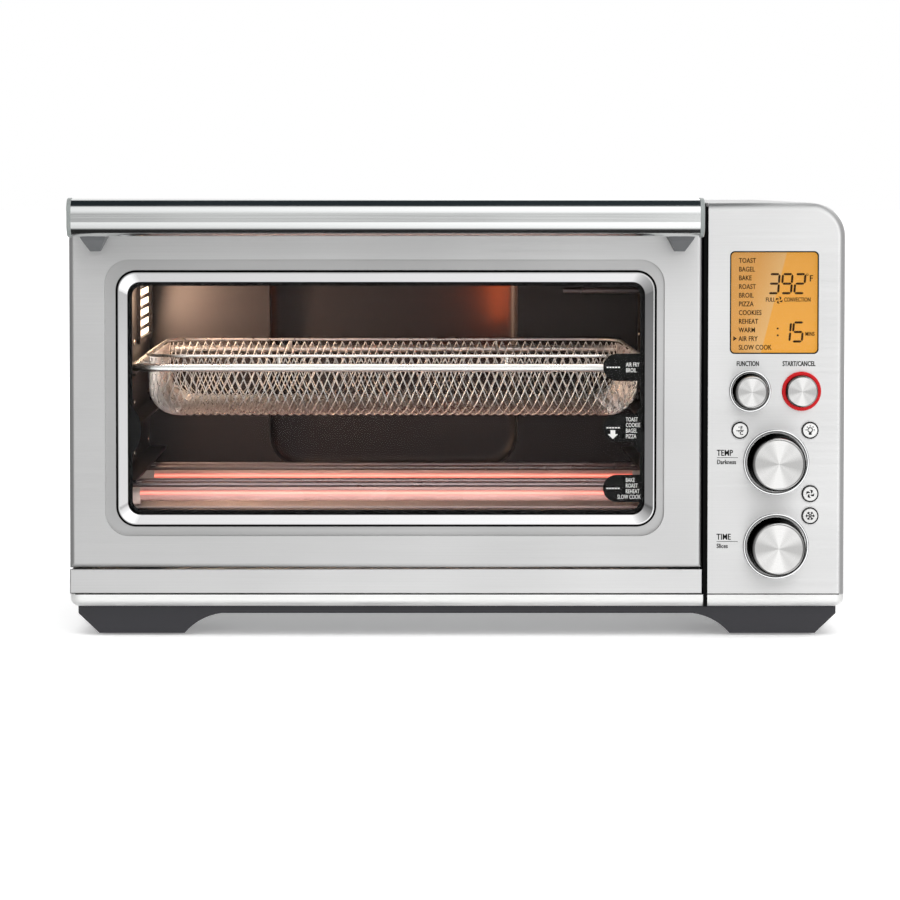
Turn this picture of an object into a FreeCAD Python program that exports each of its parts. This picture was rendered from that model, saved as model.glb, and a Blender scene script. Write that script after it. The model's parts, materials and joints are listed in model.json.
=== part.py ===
import FreeCAD, Part
import math
import os

# Countertop toaster oven with an air-fry basket, in millimetres.
# +Z is up, the door faces -Y, and the origin is on the floor under the centre of the outer box.

os.makedirs("parts", exist_ok=True)

# ---- Overall sizes ----
WIDTH = 480.0              # across the case
DEPTH = 400.0              # handle to rear spacers
BODY_TOP = 268.8           # top of the case above the floor
PANEL_WIDTH = 85.0         # control panel
HANDLE_REACH = 40.0        # handle stands this far out of the door
SPACER_REACH = 10.0        # rear spacers keep the case off a wall
SPACER_RISE = 112.0        # their middle above the base, clear of the rear vents
SPACER_HALF = 16.0
CORNER_R = 21.0            # top corners of the case

# ---- Base ----
FOOT_HEIGHT = 18.6
FOOT_PAD_T = 3.0
FOOT_PAD_R = 9.0
PAD_PROUD = 1.2
FOOT_LENGTH = 58.0         # front to back
FOOT_SOLE = 53.0           # width of a foot where it stands
FOOT_SLANT = 13.0          # outer side leans in by this much
FOOT_SWEEP = 23.0          # inner side curves out by this much
MOULDING_T = 5.0
TRIM_HEIGHT = 7.7
TRIM_WALL = 3.0
TRIM_ROUND = 5.0
TRIM_LEDGE = 14.0
PLATE_T = 1.0

# ---- Sheet and gaps ----
CASE_T = 0.8
LINER_T = 0.6
SKIN_T = 1.2
PANEL_T = 1.5
EDGE_ROUND = 5.0
SEAM = 0.6                 # gap round anything that opens
STRIP_WIDTH = 2.7          # black strip between door and panel

# ---- Door ----
DOOR_DEPTH = 20.5
DOOR_GAP = 1.5             # behind the closed door
DOOR_BOTTOM = 42.7
DOOR_TOP_DROP = 2.3        # door ends below the top of the case
SKIN_DEPTH = 15.0
SKIN_ROUND = 3.0
HINGE_BACK = 8.0           # hinge axis behind the door face
HINGE_UP = 10.0            # hinge axis above the door's lower edge
PIN_R = 2.5
PIN_CLEAR = 0.05
ARM_T = 4.0
ARM_R = 4.5
HINGE_INSET = 14.0         # hinge arm from the door's left edge
HINGE_INSET_RIGHT = 9.2
EAR_T = 2.0
EAR_GAP = 1.0
COIL_ROOM = 8.5
COIL_WIRE_R = 0.9
COIL_TURNS = 3

# ---- Window ----
RECESS_SIDE = 22.0         # door's left edge to the stamped recess
RECESS_RIGHT = 23.7
RECESS_BOTTOM = 19.8
RECESS_TOP = 32.7
RECESS_DEPTH = 2.5
RECESS_R = 15.0
RECESS_TO_BEZEL = 6.6
BEZEL_GAP = 0.6
BEZEL_WIDTH = 6.7
BEZEL_R = 12.0
BEZEL_PROUD = 1.7          # above the recess floor
BEZEL_RIM = 1.6            # flat outer rim before the slope
BEZEL_SLOPE = 2.0          # the ring falls this much towards the glass
GLASS_T = 3.2
INNER_GLASS_T = 3.0
GLASS_LAP = 4.0
SEE_R = 8.0                # corner of the opening through the door

# ---- Handle ----
HANDLE_HEIGHT = 24.0
HANDLE_DEPTH = 19.0
HANDLE_RISE = 3.2          # handle top above the case top
HANDLE_ROUND = 8.8
HANDLE_WALL = 2.0
CAP_T = 2.6
HANDLE_INSET = 2.4         # handle ends inside the door's sides
CAP_MARGIN = 0.5
BRACKET_INSET = 17.0
BRACKET_WIDTH = 16.0
BRACKET_TIP = 6.0
BRACKET_DROP = 9.0
HANDLE_SCREW_R = 2.0

# ---- Cavity ----
CAVITY_LEFT = 27.0         # case side to cavity
CAVITY_RIGHT = 22.0        # panel side to cavity
CAVITY_FLOOR = 46.8
CAVITY_TOP_DROP = 22.8
CAVITY_BACK = 40.0         # cavity back to the rear panel face
BULGE_WIDTH = 177.0
BULGE_BOTTOM = 78.0
BULGE_DEPTH = 22.0
BULGE_R = 25.0
SILL_TOP = 74.0
CRUMB_SLOT_MARGIN = 24.0
RAIL_HEIGHTS = (94.0, 127.0, 161.0)
RAIL_RISER = 2.5
RAIL_WIDTH = 12.0
RAIL_T = 1.5
ELEMENT_R = 5.0
ELEMENT_LOW = 81.0
ELEMENT_HIGH_DROP = 14.0   # below the cavity top
ELEMENT_FRONT = 70.0       # behind the front frame
ELEMENT_PITCH = 128.0
HOLDER_SIZE = 14.0
HOLDER_LENGTH = 10.0
GUARD_R = 1.6
GUARD_OFFSET = 14.0
REFLECTOR_WIDTH = 58.0
REFLECTOR_DROP = 11.0
LAMP_LENGTH = 104.0        # lamp window in the left wall, front to back
LAMP_HEIGHT = 42.0
LAMP_FROM_BACK = 62.0
LAMP_DROP = 50.0

# ---- Basket ----
BASKET_FRONT = 18.0        # behind the front frame
BASKET_BACK = 26.0         # in front of the cavity back
BASKET_SIDE = 9.0          # frame rod to the cavity wall
ROD_R = 2.5
ROD_CLEAR = 0.5
TUB_INSET = 8.0
TUB_DEPTH = 39.5
TUB_T = 1.2
TUB_CORNER = 24.0
TUB_ROUND = 18.0
TUB_ABOVE_ROD = 8.0
RIM_T = 2.4
RIM_H = 3.0
BASKET_LUG = 10.0
LUG_INSET_X = 90.0
LUG_INSET_Y = 60.0
ROD_CORNER = 12.0

# ---- Crumb tray ----
TRAY_STRIP_Z = 26.8
TRAY_SEAM = 0.8
TRAY_STRIP_T = 1.5
TRAY_SIDE_DROP = 1.5       # side return clears the door's swinging corner
TRAY_SIDE = 18.0
TRAY_LENGTH = 298.0
TRAY_WALL = 1.0
TRAY_HEIGHT = 10.0
TRAY_CLEAR = 0.5

# ---- Controls ----
LCD_WIDTH = 54.9
LCD_HEIGHT = 63.6
LCD_TOP_DROP = 29.8
LCD_RIGHT = 16.8
LCD_R = 3.0
KNOB_CENTRE_RIGHT = 42.7
TEMP_KNOB_Z = 108.4
TIME_KNOB_Z = 56.3
FUNCTION_KNOB_RIGHT = 59.0
FUNCTION_KNOB_Z = 152.4
START_RIGHT = 27.3
BIG_RING_R = 20.4
BIG_KNOB_R = 18.0
BIG_KNOB_H = 17.0
BIG_KNOB_EDGE = 2.0        # bevel round the face
SMALL_RING_R = 13.0
SMALL_KNOB_R = 11.0
SMALL_KNOB_H = 12.0
SMALL_KNOB_EDGE = 1.1
KNOB_TAPER = 1.2           # the side leans in by this much
START_RING_R = 12.1
START_RING_T = 2.3
START_BUTTON_R = 9.6
START_PROUD = 6.0
RING_T = 1.5
RING_PROUD = 1.4
KNOB_LIFT = 0.6
BUTTON_R = 5.0
BUTTON_PROUD = 1.4
BUTTON_GAP = 0.3
FLANGE_LIP = 1.2           # behind the panel, round every button
BUTTON_SPACE = 1.3         # between two neighbouring flanges
SMALL_BUTTONS = {
    "unit_button": (65.2, 128.2),
    "light_button": (21.9, 128.2),
    "fan_button": (21.7, 88.9),
    "frozen_button": (21.7, 88.9 - 2 * (BUTTON_R + FLANGE_LIP) - BUTTON_SPACE),
}
SHAFT_R = 3.0
SHAFT_CLEAR = 0.05
STEM_R = 2.0
STEM_CLEAR = 0.6
START_TRAVEL = 1.5
BUTTON_TRAVEL = 1.0
STOP_GAP = 0.3
BOARD_BEHIND = 18.0        # board face behind the panel face
BOARD_T = 1.6
CARRIER_BEHIND = 8.0
CARRIER_T = 2.0

# ---- Fan and bay ----
FAN_Y = -4.0
FAN_Z = 113.0
FAN_COVER_R = 40.0
IMPELLER_R = 34.0
HOUSING_DEPTH = 15.0
DIVIDER_T = 0.8
MOTOR_SIZE = 58.0
MOTOR_LENGTH = 38.0
COOLING_BLADE_R = 31.0
FAN_BLADES = 8

# ---- Rear ----
REAR_T = 1.0
SCREW_R = 1.6
SCREW_HEAD_R = 3.4
SCREW_HEAD_T = 1.8
SCREW_LENGTH = 6.0
SCREW_INSET = 10.0
GLAND_R = 7.0
GLAND_BORE_R = 3.6

# ---- Derived planes ----
X_LEFT = -WIDTH / 2
X_RIGHT = WIDTH / 2
Y_HANDLE = -DEPTH / 2
Y_FACE = Y_HANDLE + HANDLE_REACH
Y_BACK = DEPTH / 2 - SPACER_REACH
Y_FRAME = Y_FACE + DOOR_DEPTH + DOOR_GAP
Z_BODY = FOOT_HEIGHT + TRIM_HEIGHT
X_PANEL = X_RIGHT - PANEL_WIDTH
X_STRIP = X_PANEL - STRIP_WIDTH
X_DOOR = X_STRIP - SEAM
DOOR_TOP = BODY_TOP - DOOR_TOP_DROP
HINGE_Y = Y_FACE + HINGE_BACK
HINGE_Z = DOOR_BOTTOM + HINGE_UP
PLATE_TOP = Z_BODY - 1.8
FRAME_T = 1.5
Y_LINER = Y_FRAME + FRAME_T
CAV_X0 = X_LEFT + CAVITY_LEFT
CAV_X1 = X_PANEL - CAVITY_RIGHT
CAV_Y1 = Y_BACK - CAVITY_BACK
CAV_TOP = BODY_TOP - CAVITY_TOP_DROP
LAMP_Y = CAV_Y1 - LAMP_FROM_BACK
LAMP_Z = CAV_TOP - LAMP_DROP
CAV_MID = (CAV_X0 + CAV_X1) / 2
Y_SKIN_BACK = Y_FACE + SKIN_DEPTH
Y_DOOR_BACK = Y_FACE + DOOR_DEPTH
Y_INNER_PLATE = Y_DOOR_BACK - 1.5
REC_X0 = X_LEFT + RECESS_SIDE
REC_X1 = X_DOOR - RECESS_RIGHT
REC_Z0 = DOOR_BOTTOM + RECESS_BOTTOM
REC_Z1 = DOOR_TOP - RECESS_TOP
BEZ_X0 = REC_X0 + RECESS_TO_BEZEL + BEZEL_GAP
BEZ_X1 = REC_X1 - (RECESS_TO_BEZEL - 2.0) - BEZEL_GAP
BEZ_Z0 = REC_Z0 + (RECESS_TO_BEZEL - 1.0) + BEZEL_GAP
BEZ_Z1 = REC_Z1 - RECESS_TO_BEZEL - BEZEL_GAP
Y_RECESS = Y_FACE + RECESS_DEPTH
Y_GLASS = Y_RECESS + SKIN_T + 1.2
HINGES = (
    (X_LEFT + HINGE_INSET, 1),
    (X_DOOR - HINGE_INSET_RIGHT, -1),
)
HANDLE_TOP = BODY_TOP + HANDLE_RISE
HANDLE_BOTTOM = HANDLE_TOP - HANDLE_HEIGHT
Y_BAR_BACK = Y_HANDLE + HANDLE_DEPTH
HANDLE_X0 = X_LEFT + HANDLE_INSET
HANDLE_X1 = X_DOOR - HANDLE_INSET
BRACKETS = (X_LEFT + BRACKET_INSET, X_DOOR - BRACKET_INSET + 2.0)
ROD_Z = RAIL_HEIGHTS[2] + RAIL_T / 2 + ROD_CLEAR + ROD_R
TUB_TOP = ROD_Z + TUB_ABOVE_ROD
TUB_BOTTOM = TUB_TOP - TUB_DEPTH
ROD_X0 = CAV_X0 + BASKET_SIDE
ROD_X1 = CAV_X1 - BASKET_SIDE
ROD_Y0 = Y_FRAME + BASKET_FRONT
ROD_Y1 = CAV_Y1 - BASKET_BACK
ELEMENTS_Y = (Y_FRAME + ELEMENT_FRONT, Y_FRAME + ELEMENT_FRONT + ELEMENT_PITCH)
ELEMENT_HIGH = CAV_TOP - ELEMENT_HIGH_DROP
Y_BOARD = Y_FACE + BOARD_BEHIND
Y_CARRIER = Y_FACE + CARRIER_BEHIND
SMALL_KNOB = (SMALL_KNOB_R, SMALL_KNOB_H, SMALL_KNOB_EDGE, SMALL_RING_R)
BIG_KNOB = (BIG_KNOB_R, BIG_KNOB_H, BIG_KNOB_EDGE, BIG_RING_R)
KNOBS = {
    "function_knob": (X_RIGHT - FUNCTION_KNOB_RIGHT, FUNCTION_KNOB_Z, SMALL_KNOB),
    "temperature_knob": (X_RIGHT - KNOB_CENTRE_RIGHT, TEMP_KNOB_Z, BIG_KNOB),
    "time_knob": (X_RIGHT - KNOB_CENTRE_RIGHT, TIME_KNOB_Z, BIG_KNOB),
}
START_X = X_RIGHT - START_RIGHT
X_DIVIDER = X_STRIP - DIVIDER_T


# ---- Shape helpers ----
def box(x0, x1, y0, y1, z0, z1):
    """Box between two corners."""
    return Part.makeBox(x1 - x0, y1 - y0, z1 - z0, FreeCAD.Vector(x0, y0, z0))


def tube_x(y, z, r, x0, x1):
    """Round bar along X."""
    return Part.makeCylinder(r, x1 - x0, FreeCAD.Vector(x0, y, z), FreeCAD.Vector(1, 0, 0))


def tube_y(x, z, r, y0, y1):
    """Round bar along Y."""
    return Part.makeCylinder(r, y1 - y0, FreeCAD.Vector(x, y0, z), FreeCAD.Vector(0, 1, 0))


def tube_z(x, y, r, z0, z1):
    """Round bar along Z."""
    return Part.makeCylinder(r, z1 - z0, FreeCAD.Vector(x, y, z0), FreeCAD.Vector(0, 0, 1))


def edges_where(shape, test):
    """Edges whose two ends and middle all pass the test."""
    chosen = []
    for edge in shape.Edges:
        points = [v.Point for v in edge.Vertexes]
        points.append(edge.valueAt((edge.FirstParameter + edge.LastParameter) / 2))
        if all(test(p) for p in points):
            chosen.append(edge)
    return chosen


def along(shape, axis):
    """Straight edges that run along one axis, 0 for X, 1 for Y, 2 for Z."""
    chosen = []
    for edge in shape.Edges:
        if len(edge.Vertexes) != 2 or edge.Curve.TypeId != "Part::GeomLine":
            continue
        step = edge.Vertexes[1].Point - edge.Vertexes[0].Point
        if abs(step[axis]) > 0.999 * step.Length:
            chosen.append(edge)
    return chosen


def plate_y(x0, x1, z0, z1, r, y0, y1):
    """Plate across Y with four rounded corners."""
    shape = box(x0, x1, y0, y1, z0, z1)
    return shape.makeFillet(r, along(shape, 1))


def plate_z(x0, x1, y0, y1, r, z0, z1):
    """Plate across Z with four rounded corners."""
    shape = box(x0, x1, y0, y1, z0, z1)
    return shape.makeFillet(r, along(shape, 2))


def top_rounded(x0, x1, z0, z1, r, y0, y1, left=True, right=True):
    """Prism along Y with rounded top corners."""
    shape = box(x0, x1, y0, y1, z0, z1)
    picked = []
    for edge in along(shape, 1):
        point = edge.Vertexes[0].Point
        wanted = left if point.x < (x0 + x1) / 2 else right
        if point.z > (z0 + z1) / 2 and wanted:
            picked.append(edge)
    return shape.makeFillet(r, picked)


def ring_y(x, z, r_out, r_in, y0, y1):
    """Flat ring across Y."""
    return tube_y(x, z, r_out, y0, y1).cut(tube_y(x, z, r_in, y0 - 1, y1 + 1))


def joined(shapes):
    """One solid from touching shapes."""
    result = shapes[0]
    for shape in shapes[1:]:
        result = result.fuse(shape)
    return result.removeSplitter()


def back_wire(plate):
    """Outline of a plate's rear face."""
    return max(plate.Faces, key=lambda face: face.CenterOfMass.y).OuterWire


def cut_all(shape, tools):
    """Shape with every tool taken away."""
    return shape.cut(Part.makeCompound(tools))


def prism_x(points, x0, x1):
    """Prism along X from (y, z) corners."""
    corners = [FreeCAD.Vector(x0, y, z) for y, z in points]
    face = Part.Face(Part.makePolygon(corners + [corners[0]]))
    return face.extrude(FreeCAD.Vector(x1 - x0, 0, 0))


def prism_y(points, y0, y1):
    """Prism along Y from (x, z) corners."""
    corners = [FreeCAD.Vector(x, y0, z) for x, z in points]
    face = Part.Face(Part.makePolygon(corners + [corners[0]]))
    return face.extrude(FreeCAD.Vector(0, y1 - y0, 0))


def revolved_y(profile, x, z):
    """Turned shape from (radius, y) corners about an axis along Y."""
    corners = [FreeCAD.Vector(x + r, y, z) for r, y in profile]
    face = Part.Face(Part.makePolygon(corners + [corners[0]]))
    return face.revolve(FreeCAD.Vector(x, 0, z), FreeCAD.Vector(0, 1, 0), 360)


def save(name, shapes):
    """Write one node, a solid or a group of separate solids."""
    group = shapes if isinstance(shapes, list) else [shapes]
    shape = group[0] if len(group) == 1 else Part.makeCompound(group)
    shape.exportStep("parts/" + name + ".step")
    box_now = shape.BoundBox
    print("%-20s %2d solids %10.0f mm3 valid %s x %.1f %.1f y %.1f %.1f z %.1f %.1f" % (
        name, len(shape.Solids), shape.Volume, shape.isValid(), box_now.XMin, box_now.XMax,
        box_now.YMin, box_now.YMax, box_now.ZMin, box_now.ZMax))


# ---- Base ----
def foot(side, y0):
    """One moulded foot; side is -1 on the left and 1 on the right."""
    outer = side * (WIDTH / 2 - 4.5)
    sole_out = outer - side * FOOT_SLANT
    sole_in = sole_out - side * FOOT_SOLE
    low = PAD_PROUD
    high = FOOT_HEIGHT - MOULDING_T
    sweep_mid = (sole_in - side * FOOT_SWEEP * 0.36, low + (high - low) * 0.58)
    sweep_end = (sole_in - side * FOOT_SWEEP, high)
    corners = [(outer, high), (sole_out, low), (sole_in, low)]
    points = [FreeCAD.Vector(x, y0, z) for x, z in corners]
    middle = FreeCAD.Vector(sweep_mid[0], y0, sweep_mid[1])
    end = FreeCAD.Vector(sweep_end[0], y0, sweep_end[1])
    edges = [
        Part.LineSegment(points[0], points[1]).toShape(),
        Part.LineSegment(points[1], points[2]).toShape(),
        Part.Arc(points[2], middle, end).toShape(),
        Part.LineSegment(end, points[0]).toShape(),
    ]
    body = Part.Face(Part.Wire(edges)).extrude(FreeCAD.Vector(0, FOOT_LENGTH, 0))
    centre = ((sole_out + sole_in) / 2, y0 + FOOT_LENGTH / 2)
    pocket = tube_z(centre[0], centre[1], FOOT_PAD_R, low - 1, FOOT_PAD_T)
    return body.cut(pocket), centre


def make_base():
    """Dark moulding with four feet, rubber pads, polished trim and steel base plate."""
    y_front = Y_FACE + 8.0
    y_rear = Y_BACK - 6.0 - FOOT_LENGTH
    edge = WIDTH / 2 - 4.5
    ring = box(-edge, edge, y_front, y_rear + FOOT_LENGTH, FOOT_HEIGHT - MOULDING_T, FOOT_HEIGHT)
    opening = plate_z(-edge + 40, edge - 40, y_front + 30, y_rear + FOOT_LENGTH - 30, 12,
                      FOOT_HEIGHT - MOULDING_T - 1, FOOT_HEIGHT + 1)
    pieces = [ring.cut(opening)]
    pads = []
    for side in (-1, 1):
        for y0 in (y_front, y_rear):
            body, centre = foot(side, y0)
            pieces.append(body)
            pads.append(tube_z(centre[0], centre[1], FOOT_PAD_R, 0, FOOT_PAD_T))
    save("base_moulding", joined(pieces))
    save("foot_pads", pads)

    outer = plate_z(X_LEFT, X_RIGHT, Y_FACE, Y_BACK, 6.0, FOOT_HEIGHT, Z_BODY)
    low = edges_where(outer, lambda p: abs(p.z - FOOT_HEIGHT) < 0.01)
    outer = outer.makeFillet(TRIM_ROUND, low)
    inner = plate_z(X_LEFT + TRIM_WALL, X_RIGHT - TRIM_WALL, Y_FACE + TRIM_WALL, Y_BACK - TRIM_WALL, 3.0,
                    PLATE_TOP - PLATE_T, Z_BODY + 1)
    floor_hole = plate_z(X_LEFT + TRIM_LEDGE, X_RIGHT - TRIM_LEDGE, Y_FACE + TRIM_LEDGE, Y_BACK - TRIM_LEDGE,
                         6.0, FOOT_HEIGHT - 1, Z_BODY)
    notch = box(X_STRIP, X_PANEL, Y_FACE - 1, Y_FACE + TRIM_WALL, FOOT_HEIGHT - 1, Z_BODY + 1)
    save("base_trim", cut_all(outer, [inner, floor_hole, notch]))

    plate = plate_z(X_LEFT + TRIM_WALL, X_RIGHT - TRIM_WALL, Y_FACE + TRIM_WALL, Y_BACK - TRIM_WALL, 3.0,
                    PLATE_TOP - PLATE_T, PLATE_TOP)
    tray_x0 = X_LEFT + TRAY_SIDE
    tray_x1 = X_DOOR - TRAY_SIDE
    tray_z = TRAY_STRIP_Z + 2.2
    y0 = Y_FRAME + 4
    y1 = Y_FACE + TRAY_LENGTH
    ledges = [
        box(tray_x0 + 6, tray_x0 + 16, y0, y1, PLATE_TOP, tray_z - TRAY_CLEAR),
        box(tray_x1 - 16, tray_x1 - 6, y0, y1, PLATE_TOP, tray_z - TRAY_CLEAR),
        box(tray_x0 - TRAY_CLEAR - 3, tray_x0 - TRAY_CLEAR, y0, y1, PLATE_TOP, tray_z + 7),
        box(tray_x1 + TRAY_CLEAR, tray_x1 + TRAY_CLEAR + 3, y0, y1, PLATE_TOP, tray_z + 7),
    ]
    save("base_plate", joined([plate] + ledges))


# ---- Case ----
def slot_row(x0, x1, y_first, count, pitch, width, z0, z1):
    """Upright vent slots in a side wall."""
    return [box(x0, x1, y_first + i * pitch, y_first + i * pitch + width, z0, z1) for i in range(count)]


def rear_screw_places():
    """Screw positions round the rear panel."""
    x_in = X_RIGHT - SCREW_INSET - 2
    z_low = Z_BODY + SCREW_INSET
    z_high = BODY_TOP - CORNER_R
    places = []
    for x in (-x_in, x_in):
        for z in (z_low, (z_low + z_high) / 2, z_high):
            places.append((x, z))
    for x in (-WIDTH / 6, WIDTH / 6):
        places.append((x, z_low))
        places.append((x, BODY_TOP - SCREW_INSET))
    return places


def make_case():
    """Wrapped outer case, rear panel with vents, spacers, screws and cord gland."""
    outer = top_rounded(X_LEFT, X_RIGHT, Z_BODY, BODY_TOP, CORNER_R, Y_FRAME, Y_BACK)
    inner = top_rounded(X_LEFT + CASE_T, X_RIGHT - CASE_T, Z_BODY - 1, BODY_TOP - CASE_T, CORNER_R - CASE_T,
                        Y_FRAME - 1, Y_BACK + 1)
    vents = slot_row(X_LEFT - 1, X_LEFT + 2, Y_BACK - 130, 12, 9.0, 3.2, Z_BODY + 18, Z_BODY + 48)
    vents += slot_row(X_RIGHT - 2, X_RIGHT + 1, Y_BACK - 130, 12, 9.0, 3.2, Z_BODY + 18, Z_BODY + 48)
    vents += slot_row(X_RIGHT - 2, X_RIGHT + 1, Y_BACK - 130, 12, 9.0, 3.2, Z_BODY + 120, Z_BODY + 150)
    save("outer_case", cut_all(outer.cut(inner), vents))

    y0 = Y_BACK - REAR_T
    panel = top_rounded(X_LEFT + CASE_T, X_RIGHT - CASE_T, Z_BODY, BODY_TOP - CASE_T, CORNER_R - CASE_T,
                        y0, Y_BACK)
    holes = [tube_y(x, z, SCREW_R, y0 - 1, Y_BACK + 1) for x, z in rear_screw_places()]
    for row_z in (Z_BODY + 150, Z_BODY + 182):
        for i in range(16):
            x = X_RIGHT - 210 + i * 10.0
            holes.append(box(x, x + 3.5, y0 - 1, Y_BACK + 1, row_z, row_z + 24))
    gland_x = X_RIGHT - 46
    gland_z = Z_BODY + 40
    holes.append(tube_y(gland_x, gland_z, GLAND_R, y0 - 1, Y_BACK + 1))
    save("rear_panel", cut_all(panel, holes))

    gland = joined([
        tube_y(gland_x, gland_z, GLAND_R, y0 - 3, Y_BACK + 3),
        tube_y(gland_x, gland_z, GLAND_R + 3.5, Y_BACK, Y_BACK + 3),
    ])
    save("cord_gland", gland.cut(tube_y(gland_x, gland_z, GLAND_BORE_R, y0 - 4, Y_BACK + 4)))

    spacers = []
    for x in (X_LEFT + 60, X_RIGHT - 90):
        z = Z_BODY + SPACER_RISE
        wedge = prism_x([(Y_BACK, z - SPACER_HALF), (Y_BACK + SPACER_REACH, z - 10),
                         (Y_BACK + SPACER_REACH, z + 10), (Y_BACK, z + SPACER_HALF)], x - 13, x + 13)
        spacers.append(wedge)
    save("rear_spacers", spacers)

    screws = []
    for x, z in rear_screw_places():
        head = tube_y(x, z, SCREW_HEAD_R, Y_BACK, Y_BACK + SCREW_HEAD_T)
        head = head.makeFillet(0.8, edges_where(head, lambda p: p.y > Y_BACK + SCREW_HEAD_T - 0.01))
        shank = tube_y(x, z, SCREW_R, Y_BACK - SCREW_LENGTH, Y_BACK)
        cross = [box(x - 1.8, x + 1.8, Y_BACK + 0.9, Y_BACK + 3, z - 0.35, z + 0.35),
                 box(x - 0.35, x + 0.35, Y_BACK + 0.9, Y_BACK + 3, z - 1.8, z + 1.8)]
        screws.append(cut_all(joined([head, shank]), cross))
    save("case_screws", screws)


def make_strip_and_frame():
    """Black strip beside the door, front frame round the cavity mouth, bay divider."""
    main = top_rounded(X_STRIP, X_PANEL, Z_BODY, DOOR_TOP, STRIP_WIDTH - 0.01, Y_FACE + 1, Y_FRAME,
                       True, False)
    tail = box(X_STRIP, X_PANEL, Y_FACE + 0.5, Y_FACE + TRIM_WALL, FOOT_HEIGHT, Z_BODY + 1)
    save("gap_strip", joined([main, tail]))

    frame = top_rounded(X_LEFT + CASE_T, X_STRIP, DOOR_BOTTOM + 1, BODY_TOP - CASE_T, CORNER_R - CASE_T,
                        Y_FRAME, Y_LINER, True, False)
    mouth = plate_y(CAV_X0 + 3, CAV_X1 - 2, SILL_TOP, CAV_TOP - 6, 8.0, Y_FRAME - 1, Y_LINER + 1)
    slots = [box(x - ARM_T / 2, x + ARM_T / 2, Y_FRAME - 1, Y_LINER + 1, HINGE_Z - ARM_R, HINGE_Z + ARM_R)
             for x, _ in HINGES]
    save("front_frame", cut_all(frame, [mouth] + slots))

    divider = box(X_DIVIDER, X_STRIP, Y_LINER, Y_BACK - REAR_T, Z_BODY, BODY_TOP - CASE_T)
    save("bay_divider", divider.cut(tube_x(FAN_Y, FAN_Z, SHAFT_R + 2, X_DIVIDER - 1, X_STRIP + 1)))


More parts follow.
